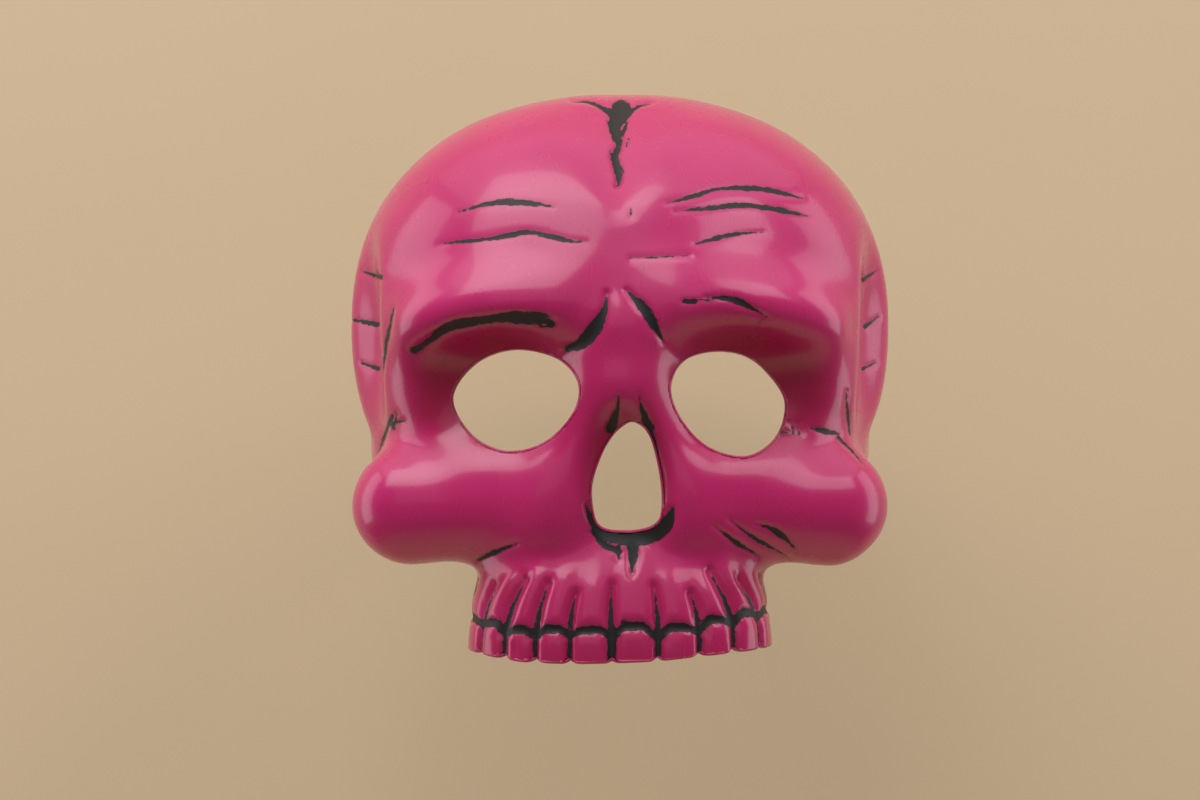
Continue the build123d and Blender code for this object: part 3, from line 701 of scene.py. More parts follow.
@dataclass
class ShellSkin:
    """The moulded shell: an outer skin with its lines, an inner skin, and a rounded edge between them."""

    form: SkullForm = field(default_factory=SkullForm)
    eyes: tuple[Outline, Outline] = (
        Outline(((-57.3, 1.6), (-49.6, 13.0), (-36.5, 17.9), (-22.0, 15.2), (-14.4, 7.1), (-16.1, -3.4),
                 (-26.0, -13.3), (-39.1, -16.1), (-50.9, -10.6))),
        Outline(((17.4, 5.8), (22.0, 14.3), (31.8, 17.3), (42.3, 16.0), (50.2, 10.4), (56.5, 0.5), (53.5, -11.3),
                 (43.0, -17.9), (29.8, -14.6), (20.6, -4.7))))
    nose: Outline = Outline(((4.8, -6.6), (10.0, -11.8), (13.3, -25.5), (13.6, -37.2), (10.0, -41.7), (1.6, -43.0),
                             (-6.2, -41.7), (-8.8, -35.9), (-9.1, -26.8), (-4.9, -15.1), (0.3, -8.6)))
    wall: float = 3.0
    edge_bulge: float = 0.8
    rim_temple_y: float = 18.0
    rim_jaw_y: float = -28.0
    rim_step: tuple[float, float] = (-52.0, -12.0)
    dimple_radius: float = 4.8
    dimple_depth: float = 1.3
    rivet_y: float = 8.0
    rivet_z: float = 34.0
    temple_x: float = 80.0
    sway_depth: float = 0.12

    def __post_init__(self) -> None:
        """Gather the lines that are drawn and moulded in the face."""
        self.drawn = DrawnLines(FACE_LINES + tuple(UpperJaw.lines()))

    def rim_y(self, z: Array) -> Array:
        """Where the shell's back edge is at each height."""
        return self.rim_jaw_y + (self.rim_temple_y - self.rim_jaw_y) * ramp(z, *self.rim_step)

    def clear(self, points: Array) -> Array:
        """How far points are inside the shell's own edges, in millimetres; negative where it is cut away."""
        gaps = [outline.clear(points) for outline in (*self.eyes, self.nose)]
        gaps.append(self.rim_y(points[:, 2]) - points[:, 1])
        gaps.append(np.where(points[:, 1] < -10, UpperJaw.above_bite(points), 50.0))
        return np.min(gaps, axis=0) - self.edge_bulge

    def trimmed(self, grid: SkinGrid, depth: float, wanted: Callable[[Array, int], Array]) -> Trimmed:
        """Make a skin at a depth under the form and cut it to its edges.

        Args:
            grid: the lattice it is made on.
            depth: how far under the form it lies.
            wanted: tells where the lattice is cut finer.

        Returns:
            The skin, with vertices added where its edges cross the lattice.
        """
        places, faces = grid.polygons(grid.cells(wanted))
        angles = grid.angles(places)
        points = self.form.cast(angles, depth)
        value = self.clear(points)
        crossings: dict[tuple[int, int], int] = {}
        kept = []
        inside = value >= 0
        for face in faces:
            state = [inside[v] for v in face]
            if all(state):
                kept.append(face)
            elif any(state):
                ring = []
                for k, v in enumerate(face):
                    after = face[(k + 1) % len(face)]
                    if inside[v]:
                        ring.append(v)
                    if inside[v] != inside[after]:
                        pair = (v, after) if inside[v] else (after, v)
                        ring.append(crossings.setdefault(pair, len(points) + len(crossings)))
                kept.append(ring)
        pairs = np.array(list(crossings))
        near, far = np.zeros(len(pairs)), np.ones(len(pairs))
        start, end = angles[pairs[:, 0]], angles[pairs[:, 1]]
        for _ in range(9):
            middle = (near + far) / 2
            good = self.clear(self.form.cast(start + middle[:, None] * (end - start), depth)) >= 0
            near, far = np.where(good, middle, near), np.where(good, far, middle)
        edge_angles = start + near[:, None] * (end - start)
        angles = np.vstack([angles, edge_angles])
        points = np.vstack([points, self.form.cast(edge_angles, depth)])
        used = np.unique(np.concatenate([np.array(face) for face in kept]))
        new = np.full(len(points), -1)
        new[used] = np.arange(len(used))
        kept = [[int(new[v]) for v in face] for face in kept]
        return Trimmed(angles[used], points[used], kept, self.edge_rows(kept))

    @staticmethod
    def edge_rows(faces: list[list[int]]) -> list[list[int]]:
        """Closed rows of vertices round the edges that only one face has."""
        edges = {(a, b) for face in faces for a, b in zip(face, face[1:] + face[:1])}
        follow = {a: b for a, b in edges if (b, a) not in edges}
        rows = []
        while follow:
            start, at = next(iter(follow.items()))
            row = [start]
            del follow[start]
            while at != start and at in follow:
                row.append(at)
                at = follow.pop(at)
            if len(row) > 20:
                rows.append(row)
        return rows

    def from_rivet(self, points: Array) -> Array:
        """Distance of points from the rivet on their side, seen from the side; large away from the temples."""
        beside = np.hypot(points[:, 1] - self.rivet_y, points[:, 2] - self.rivet_z)
        return np.where(np.abs(points[:, 0]) > self.temple_x, beside, 50.0)

    def relief(self, points: Array) -> Array:
        """How deep the drawn lines, the rivet dimples and the hand of the moulder go, in millimetres."""
        beside = self.from_rivet(points)
        dimple = self.dimple_depth * (1 - ramp(beside, self.dimple_radius - 0.25, self.dimple_radius + 0.45))
        sway = np.sin(points @ np.array([0.11, 0.07, 0.05]) + 1.0) * np.sin(points @ np.array([-0.05, 0.09, 0.12]))
        return self.drawn.depth(points) + dimple + self.sway_depth * sway

    def shade(self, points: Array) -> Array:
        """How much painted shade falls at points, 0 to 1: in the eye sockets, most on their outer upper sides, in
        the nose recess, under the cheekbones, and more towards the jaw.
        """
        x, y, z = points.T
        total = np.zeros(len(points))
        for side in (1, -1):
            across, up = (side * x - 40) / 37, (z - 4) / 27
            ring = np.hypot(across, up)
            outer = 0.30 + 0.70 * ramp(across + 0.75 * up, -0.6, 0.8)
            total += 1.05 * (1 - ramp(ring, 0.60, 1.16)) * outer * (y < -30)
        nose = np.hypot((x - 2) / 17, (z + 25) / 27)
        total += 0.75 * (1 - ramp(nose, 0.62, 1.12)) * (y < -40)
        under_cheek = ramp(-z, 44, 60) * (1 - ramp(-z, 62, 72)) * ramp(np.abs(x), 22, 46)
        total += 0.5 * under_cheek + 0.25 * ramp(-z, 48, 66) + 0.25 * ramp(-z, 70, 84)
        return np.clip(total, 0, 1)

    def build(self) -> bpy.types.Object:
        """Make the whole shell as one closed mesh."""
        grid = SkinGrid()

        def near_detail(angles: Array, size: int) -> Array:
            """Whether outer cells are near lines, edges or dimples."""
            points = self.form.cast(angles)
            across = size * grid.step * 1.65
            edge = np.abs(self.clear(points))
            line = self.drawn.nearness(points)
            dimple = np.abs(self.from_rivet(points) - self.dimple_radius)
            whole = self.clear(points) > -3
            if size == grid.base:
                return whole & ((edge < across + 1.2) | (line < across + 1.0) | (points[:, 2] < -57)
                                | (dimple < across + 0.8))
            return whole & ((edge < across + 0.1) | (np.abs(line) < across + 0.15) | (dimple < across + 0.3))

        def near_edge(angles: Array, size: int) -> Array:
            """Whether inner cells are near an edge."""
            points = self.form.cast(angles, self.wall)
            return np.abs(self.clear(points)) < size * 0.75 + 0.2

        outer = self.trimmed(grid, 0.0, near_detail)
        inner = self.trimmed(SkinGrid(step=0.5), self.wall, near_edge)
        shape = Shape()
        normal = self.form.normal(outer.points)
        depth = self.relief(outer.points)
        placed = outer.points - normal * depth[:, None]
        # the outer skin carries the painted shade
        shape.add(placed, outer.faces, ink=self.drawn.ink(outer.points), shade=self.shade(outer.points), inside=0.0,
                  edge=np.clip(self.clear(outer.points), 0, 8))
        inner_first = shape.add(inner.points, [face[::-1] for face in inner.faces], ink=-self.drawn.fade,
                                shade=0.0, inside=1.0, edge=8.0)
        for row in outer.rows:
            middle = outer.points[row].mean(0)
            partner = min(inner.rows, key=lambda r: np.linalg.norm(inner.points[r].mean(0) - middle))
            self.rounded_edge(shape, placed, row, inner.points, partner, inner_first)
        LOG.info("shell rows: outer %s inner %s", [len(r) for r in outer.rows], [len(r) for r in inner.rows])
        return shape.build("skull_skin")

    def rounded_edge(self, shape: Shape, outer: Array, row: list[int], inner: Array, partner: list[int],
                     inner_first: int, rings: int = 5) -> None:
        """Round the wall over from an edge row of the outer skin to its partner on the inner skin.

        Args:
            shape: the shell, which gets the new vertices and faces.
            outer: the outer skin's vertices.
            row: the outer edge row.
            inner: the inner skin's vertices.
            partner: the inner edge row.
            inner_first: where the inner skin's vertices start in the shell.
            rings: how many rows of vertices lie between the two.
        """
        a = outer[row]
        shift = int(np.linalg.norm(a[0] - inner[partner], axis=1).argmin())
        order = partner[shift:] + partner[:shift]
        b_line = inner[order]
        closed = np.vstack([b_line, b_line[:1]])
        at = run_lengths(closed)
        at = at / at[-1]
        span = closed[1:] - closed[:-1]
        t = np.clip(((a[:, None] - closed[:-1]) * span).sum(-1) / ((span ** 2).sum(-1) + 1e-9), 0, 1)
        place = closed[:-1] + t[..., None] * span
        away = np.linalg.norm(a[:, None] - place, axis=-1)
        share = run_lengths(np.vstack([a, a[:1]]))
        share = share[:-1] / share[-1]
        rough = at[:-1][None] + t * np.diff(at)[None]
        off = np.abs(rough - share[:, None])
        off = np.minimum(off, 1 - off)
        pick = (away + 400 * np.maximum(off - 0.06, 0)).argmin(1)
        rows = np.arange(len(a))
        along = rough[rows, pick]
        along = np.where((along > 0.8) & (share < 0.15), along - 1, along)
        along = np.where((along < 0.2) & (share > 0.85), along + 1, along)
        along = np.clip(np.maximum.accumulate(along), None, 1 + along[0])
        b = along_path(along % 1.0, at, closed)
        half = (b - a) / 2
        tangent = np.roll(a, -2, 0) - np.roll(a, 2, 0)
        bulge = np.cross(half, tangent)
        bulge /= np.linalg.norm(bulge, axis=1, keepdims=True) + 1e-9
        for _ in range(3):
            bulge = (np.roll(bulge, 1, 0) + bulge + np.roll(bulge, -1, 0)) / 3
        before = list(row)
        for k in range(1, rings + 1):
            turn = math.pi * k / (rings + 1)
            points = a + half * (1 - math.cos(turn)) + bulge * self.edge_bulge * math.sin(turn)
            # the rounded edges carry a little painted shade
            first = shape.add(points, [], ink=-self.drawn.fade, shade=0.2, edge=0.0,
                              inside=float(ramp(np.array(turn), 1.2, 2.4)))
            now = list(range(first, first + len(points)))
            shape.faces.extend(face[::-1] for face in bridge(before, now))
            before = now
        joined = zip_rows(before, along, [inner_first + v for v in order], at[:-1])
        shape.faces.extend(face[::-1] for face in joined)


# ---------------------------------------------------------------------------------- finishes
Colour = tuple[float, float, float]
Socket = bpy.types.NodeSocket


class Nodes:
    """A short way to add nodes to a tree and join them."""

    def __init__(self, tree: bpy.types.NodeTree) -> None:
        """Take the tree that nodes are added to."""
        self.tree = tree

    def add(self, kind: str, inputs: dict[str | int, object] | None = None, **settings: object) -> bpy.types.Node:
        """Add a node.

        Args:
            kind: the node's type.
            inputs: a value or another node's output for each input, by name or number.
            settings: the node's own settings.

        Returns:
            The new node.
        """
        node = self.tree.nodes.new(kind)
        for name, value in settings.items():
            setattr(node, name, value)
        for key, value in (inputs or {}).items():
            if isinstance(value, Socket):
                self.tree.links.new(value, node.inputs[key])
            else:
                node.inputs[key].default_value = value
        return node

    def math(self, operation: str, *values: object, clamp: bool = False) -> Socket:
        """Result of arithmetic on sockets or numbers."""
        node = self.add("ShaderNodeMath", dict(enumerate(values)), operation=operation, use_clamp=clamp)
        return node.outputs[0]

    def times(self, *values: object, clamp: bool = False) -> Socket:
        """The product of two."""
        return self.math("MULTIPLY", *values, clamp=clamp)

    def plus(self, *values: object, clamp: bool = False) -> Socket:
        """The sum of two."""
        return self.math("ADD", *values, clamp=clamp)

    def between(self, value: object, low: float, high: float) -> Socket:
        """A smooth rise from 0 to 1 as a value goes from low to high."""
        node = self.add("ShaderNodeMapRange", {"Value": value, "From Min": low, "From Max": high},
                        interpolation_type="SMOOTHSTEP")
        return node.outputs["Result"]

    def place(self) -> Socket:
        """The place in the object's own axes."""
        return self.add("ShaderNodeTexCoord").outputs["Object"]

    def bump(self, height: Socket, distance: float, strength: float) -> Socket:
        """A normal tilted by a height."""
        return self.add("ShaderNodeBump", {"Height": height, "Distance": distance, "Strength": strength}
                        ).outputs["Normal"]

    def noise(self, where: Socket, scale: float, detail: float = 3.0, rough: float = 0.55) -> Socket:
        """Smooth random numbers around 0.5."""
        return self.add("ShaderNodeTexNoise", {"Vector": where, "Scale": scale, "Detail": detail,
                                               "Roughness": rough}).outputs["Fac"]

    def mix(self, share: object, first: object, second: object) -> Socket:
        """A blend of two colours."""
        node = self.add("ShaderNodeMix", data_type="RGBA")
        for socket, value in zip((node.inputs["Factor"], node.inputs[6], node.inputs[7]), (share, first, second)):
            if isinstance(value, Socket):
                self.tree.links.new(value, socket)
            else:
                socket.default_value = value if isinstance(value, float) else (*value, 1.0)
        return node.outputs[2]

    def stretched(self, where: Socket, scale: tuple[float, float, float]) -> Socket:
        """Coordinates scaled differently along each axis."""
        return self.add("ShaderNodeMapping", {"Vector": where, "Scale": scale}).outputs["Vector"]

    def number(self, name: str) -> Socket:
        """A number that the mesh carries at each vertex."""
        return self.add("ShaderNodeAttribute", attribute_name=name).outputs["Fac"]


def own_node(tree: bpy.types.NodeTree, kind: str) -> bpy.types.Node:
    """The node of a type that a new tree starts with."""
    return next(node for node in tree.nodes if node.type == kind)


def group(name: str, inputs: dict[str, float], outputs: dict[str, str],
          fill: Callable[[Nodes, bpy.types.Node, bpy.types.Node], None]) -> bpy.types.NodeTree:
    """Make a group of shader nodes that several materials share.

    Args:
        name: the group's name.
        inputs: its numbers and their usual values; it also takes a vector called Place.
        outputs: its results and their socket types.
        fill: adds the nodes between the group's input and output.

    Returns:
        The group.
    """
    tree = bpy.data.node_groups.new(name, "ShaderNodeTree")
    tree.interface.new_socket("Place", in_out="INPUT", socket_type="NodeSocketVector")
    for key, value in inputs.items():
        tree.interface.new_socket(key, in_out="INPUT", socket_type="NodeSocketFloat").default_value = value
    for key, kind in outputs.items():
        tree.interface.new_socket(key, in_out="OUTPUT", socket_type=kind)
    nodes = Nodes(tree)
    fill(nodes, nodes.add("NodeGroupInput"), nodes.add("NodeGroupOutput"))
    return tree


def handling_marks() -> bpy.types.NodeTree:
    """Group that gives fine scratches and smears, for anything that is handled."""
    def fill(n: Nodes, come: bpy.types.Node, go: bpy.types.Node) -> None:
        """Add the nodes."""
        place = come.outputs["Place"]
        total: Socket | float = 0.0
        for turn, long, wide in (((0.4, 0.2, 0.9), 40.0, 1500.0), ((1.1, 0.7, 2.2), 60.0, 1900.0)):
            turned = n.add("ShaderNodeMapping", {"Vector": place, "Rotation": turn}).outputs["Vector"]
            hair = n.noise(n.stretched(turned, (long, wide, long)), 1.0, 2.0)
            patch = n.between(n.noise(turned, 45.0, 1.0), 0.5, 0.62)
            total = n.plus(total, n.times(n.between(hair, 0.66, 0.72), patch))
        smear = n.between(n.noise(place, 28.0, 4.0, 0.65), 0.42, 0.68)
        n.tree.links.new(n.times(total, come.outputs["Amount"], clamp=True), go.inputs["Scratch"])
        n.tree.links.new(n.times(smear, come.outputs["Amount"]), go.inputs["Smear"])
    return group("handling_marks", {"Amount": 1.0},
                 {"Scratch": "NodeSocketFloat", "Smear": "NodeSocketFloat"}, fill)


def yarn_rows() -> bpy.types.NodeTree:
    """Group that gives rounded rows of yarn crossed by picks, for knitted and woven cloth."""
    def fill(n: Nodes, come: bpy.types.Node, go: bpy.types.Node) -> None:
        """Add the nodes."""
        split = n.add("ShaderNodeSeparateXYZ", {"Vector": come.outputs["Place"]})
        rows = n.times(split.outputs["X"], n.math("DIVIDE", math.pi, come.outputs["Row"]))
        picks = n.times(split.outputs["Y"], n.math("DIVIDE", math.pi, come.outputs["Pick"]))
        lean = n.times(n.math("ABSOLUTE", n.math("SINE", rows)), 0.9)
        across = n.math("ABSOLUTE", n.math("SINE", rows))
        along = n.math("ABSOLUTE", n.math("SINE", n.plus(picks, lean)))
        fuzz = n.noise(n.stretched(come.outputs["Place"], (9000, 2500, 9000)), 1.0, 2.0)
        height = n.times(n.math("POWER", across, 0.6), n.plus(0.55, n.times(along, 0.45)))
        n.tree.links.new(n.plus(height, n.times(fuzz, 0.18)), go.inputs["Height"])
        n.tree.links.new(fuzz, go.inputs["Fuzz"])
    return group("yarn_rows", {"Row": 0.0016, "Pick": 0.001},
                 {"Height": "NodeSocketFloat", "Fuzz": "NodeSocketFloat"}, fill)


@dataclass
class Finish:
    """A material with one Principled shader."""

    name: str
    shared: dict[str, bpy.types.NodeTree] = field(default_factory=dict)

    def start(self) -> tuple[bpy.types.Material, Nodes, bpy.types.Node]:
        """Make the material and find its shader."""
        material = bpy.data.materials.new(self.name)
        material.use_nodes = True
        return material, Nodes(material.node_tree), own_node(material.node_tree, "BSDF_PRINCIPLED")

    def effect(self, n: Nodes, name: str, place: Socket, **numbers: float) -> bpy.types.Node:
        """Add a shared group with its own numbers."""
        node = n.add("ShaderNodeGroup")
        node.node_tree = self.shared[name]
        n.tree.links.new(place, node.inputs["Place"])
        for key, value in numbers.items():
            node.inputs[key].default_value = value
        return node

    @staticmethod
    def connect(nodes: Nodes, shader: bpy.types.Node, **inputs: object) -> None:
        """Join values to the shader's inputs, whose names' spaces are written as underscores."""
        for key, value in inputs.items():
            socket = shader.inputs[key.replace("_", " ")]
            if isinstance(value, Socket):
                nodes.tree.links.new(value, socket)
            else:
                socket.default_value = (*value, 1.0) if isinstance(value, tuple) else value


@dataclass
class PinkLacquer(Finish):
    """Glossy pink lacquer with hand-drawn ink and painted shade, over latex that shows bare on the inside."""

    name: str = "pink_lacquer"
    pink: Colour = (0.630, 0.016, 0.160)
    pale: Colour = (0.680, 0.024, 0.185)
    # crimson is the colour of the painted shade, and of the lacquer's specks
    crimson: Colour = (0.380, 0.004, 0.050)
    ink: Colour = (0.0140, 0.0125, 0.0140)
    latex: Colour = (0.46, 0.36, 0.235)
    latex_dark: Colour = (0.34, 0.24, 0.14)

    def make(self) -> bpy.types.Material:
        """Build the material."""
        material, n, shader = self.start()
        place = n.place()
        ink_gap, shade, inside, edge = (n.number(name) for name in ("ink", "shade", "inside", "edge"))
        # brushed ink: a ragged edge, and gaps where the brush runs dry
        ragged = n.math("SUBTRACT", n.noise(place, 520.0, 3.0, 0.6), 0.5)
        streaks = n.noise(n.stretched(place, (260, 260, 900)), 1.0, 2.0)
        wobble = n.times(ragged, 1.5)
        edge_value = n.plus(ink_gap, wobble)
        drawn = n.between(edge_value, 0.02, 0.16)
        dry = n.times(n.between(streaks, 0.60, 0.68), n.between(ink_gap, 0.75, 0.15))
        drawn = n.times(drawn, n.math("SUBTRACT", 1.0, n.times(dry, 0.55)), clamp=True)
        # painted shade: the lacquer is darkened a little beside every inked line, along its moulded groove
        crease_shade = n.times(n.between(ink_gap, -0.9, 0.1), 0.16)
        # lacquer: cloudy spray, turned crimson by painted shade in the eye sockets, the nose recess, under the
        # cheekbones and towards the jaw
        cloud = n.between(n.noise(place, 17.0, 4.0, 0.6), 0.34, 0.66)
        body = n.mix(cloud, self.pink, self.pale)
        mottle = n.noise(place, 85.0, 3.0)
        # painted shade, varied a little by a random mottle
        painted_shade_amount = n.plus(shade, n.times(n.math("SUBTRACT", mottle, 0.5), 0.10), clamp=True)
        body = n.mix(n.times(painted_shade_amount, 0.88), body, self.crimson)
        speck = n.between(n.noise(place, 1350.0, 1.0), 0.755, 0.78)
        body = n.mix(n.times(speck, 0.18), body, self.crimson)
        worn = n.times(n.between(edge, 0.45, 0.0), n.between(n.noise(place, 190.0, 3.0), 0.52, 0.66))
        body = n.mix(n.times(worn, 0.45), body, (0.72, 0.16, 0.36))
        body = n.mix(crease_shade, body, self.ink)
        painted = n.mix(drawn, body, self.ink)
        # bare latex: cloudy, with spray that reached round the edge
        grain = n.noise(place, 60.0, 5.0, 0.6)
        bare = n.mix(n.between(grain, 0.35, 0.68), self.latex, self.latex_dark)
        reach = n.plus(inside, n.times(n.math("SUBTRACT", n.noise(place, 140.0, 4.0), 0.5), 0.9))
        bared = n.between(reach, 0.42, 0.62)
        colour = n.mix(bared, painted, bare)
        marks = self.effect(n, "handling_marks", place, Amount=0.55)
        rough = n.plus(0.26, n.times(marks.outputs["Smear"], 0.10))
        rough = n.plus(rough, n.times(drawn, 0.26))
        rough = n.plus(rough, n.times(marks.outputs["Scratch"], 0.18))
        rough = n.math("MAXIMUM", rough, n.times(bared, 0.56))
        peel = n.noise(place, 330.0, 2.0, 0.5)
        nibs = n.between(n.noise(place, 900.0, 1.0), 0.72, 0.80)
        height = n.plus(n.times(peel, 0.012), n.times(nibs, 0.006))
        height = n.plus(height, n.times(drawn, n.plus(0.03, n.times(streaks, 0.03))))
        skin = n.plus(n.times(grain, 0.7), n.times(n.noise(place, 420.0, 3.0), 0.22))
        height = n.plus(height, n.times(bared, skin))
        bump = n.bump(height, 0.001, 0.7)
        coat = n.math("SUBTRACT", 0.4, n.plus(n.times(bared, 0.4), n.times(drawn, 0.36)),
                      clamp=True)
        self.connect(n, shader, Base_Color=colour, Roughness=rough, Normal=bump, IOR=1.48, Coat_Weight=coat,
                     Coat_Roughness=0.09, Coat_IOR=1.5, Coat_Normal=bump)
        return material


class MetalColour(Enum):
    """Colours of plated metal."""

    NICKEL = (0.66, 0.63, 0.57)
    STEEL = (0.60, 0.60, 0.60)


@dataclass
class PlatedMetal(Finish):
    """Plated metal with fine scratches and a little tarnish."""

    colour: MetalColour = MetalColour.NICKEL
    roughness: float = 0.18

    def make(self) -> bpy.types.Material:
        """Build the material."""
        material, n, shader = self.start()
        place = n.place()
        marks = self.effect(n, "handling_marks", place)
        tarnish = n.between(n.noise(place, 420.0, 4.0, 0.7), 0.46, 0.72)
        tint = n.mix(n.times(tarnish, 0.5), self.colour.value, tuple(c * 0.5 for c in self.colour.value))
        rough = n.plus(self.roughness, n.times(tarnish, 0.2))
        rough = n.plus(rough, n.times(marks.outputs["Scratch"], 0.25))
        pits = n.noise(place, 2600.0, 2.0)
        bump = n.bump(n.plus(pits, marks.outputs["Scratch"]), 0.00004, 0.6)
        self.connect(n, shader, Base_Color=tint, Roughness=rough, Metallic=1.0, Normal=bump)
        return material


@dataclass
class MouldedNylon(Finish):
    """Black moulded nylon with a fine spark-eroded grain and rubbed edges."""

    colour: Colour = (0.018, 0.018, 0.020)

    def make(self) -> bpy.types.Material:
        """Build the material."""
        material, n, shader = self.start()
        place = n.place()
        marks = self.effect(n, "handling_marks", place)
        grain = n.noise(place, 3200.0, 2.0)
        cloud = n.between(n.noise(place, 160.0, 3.0), 0.4, 0.65)
        tint = n.mix(n.times(cloud, 0.6), self.colour, (0.034, 0.034, 0.037))
        tint = n.mix(n.times(marks.outputs["Scratch"], 0.5), tint, (0.09, 0.09, 0.095))
        rough = n.plus(0.42, n.times(cloud, 0.14))
        bump = n.bump(grain, 0.00008, 0.6)
        self.connect(n, shader, Base_Color=tint, Roughness=rough, Normal=bump)
        return material


@dataclass
class Cloth(Finish):
    """Knitted or woven cloth whose rows follow the piece's own map."""

    colour: Colour = (0.016, 0.016, 0.018)
    worn: Colour = (0.045, 0.044, 0.047)
    row: float = 0.0016
    pick: float = 0.001
    relief: float = 0.00025
    sheen: float = 0.25

    def make(self) -> bpy.types.Material:
        """Build the material."""
        material, n, shader = self.start()
        chart = n.add("ShaderNodeUVMap", uv_map="UVMap").outputs["UV"]
        place = n.place()
        yarn = self.effect(n, "yarn_rows", chart, Row=self.row, Pick=self.pick)
        height = yarn.outputs["Height"]
        lift = n.between(height, 0.25, 0.95)
        # painted shade: the hollows between the yarn rows are darker
        tint = n.mix(lift, tuple(c * 0.35 for c in self.colour), self.colour)
        rubbed = n.times(n.between(n.noise(place, 70.0, 4.0, 0.65), 0.45, 0.7), lift)
        tint = n.mix(n.times(rubbed, 0.7), tint, self.worn)
        rough = n.math("SUBTRACT", 0.86, n.times(lift, 0.16))
        bump = n.bump(height, self.relief, 0.8)
        self.connect(n, shader, Base_Color=tint, Roughness=rough, Normal=bump, Sheen_Weight=self.sheen,
                     Sheen_Roughness=0.45, IOR=1.4)
        return material


@dataclass
class FoamCut(Finish):
    """Closed-cell foam: fine pits with painted shade in them, matt and slightly uneven in colour."""

    colour: Colour = (0.020, 0.020, 0.022)

    def make(self) -> bpy.types.Material:
        """Build the material."""
        material, n, shader = self.start()
        place = n.place()
        cells = n.add("ShaderNodeTexVoronoi", {"Vector": place, "Scale": 1500.0}).outputs["Distance"]
        large = n.add("ShaderNodeTexVoronoi", {"Vector": place, "Scale": 620.0}).outputs["Distance"]
        pits = n.plus(n.between(cells, 0.0, 0.45), n.times(n.between(large, 0.0, 0.3), 0.6))
        # painted shade: the pits are darker
        tint = n.mix(n.between(pits, 0.3, 1.3), tuple(c * 0.3 for c in self.colour), self.colour)
        tint = n.mix(n.between(n.noise(place, 90.0, 3.0), 0.5, 0.7), tint, (0.042, 0.041, 0.043))
        bump = n.bump(pits, 0.0002, 0.7)
        self.connect(n, shader, Base_Color=tint, Roughness=0.82, Normal=bump)
        return material


@dataclass
class TwistedThread(Finish):
    """Polyester sewing thread, twisted."""

    colour: Colour = (0.060, 0.058, 0.062)

    def make(self) -> bpy.types.Material:
        """Build the material."""
        material, n, shader = self.start()
        place = n.place()
        ply = n.noise(n.stretched(place, (5200, 3800, 6100)), 1.0, 2.0)
        # painted shade: the grooves between the twisted plies are darker
        tint = n.mix(n.between(ply, 0.35, 0.65), tuple(c * 0.45 for c in self.colour), self.colour)
        bump = n.bump(ply, 0.0001, 0.6)
        self.connect(n, shader, Base_Color=tint, Roughness=0.6, Normal=bump, Sheen_Weight=0.2)
        return material


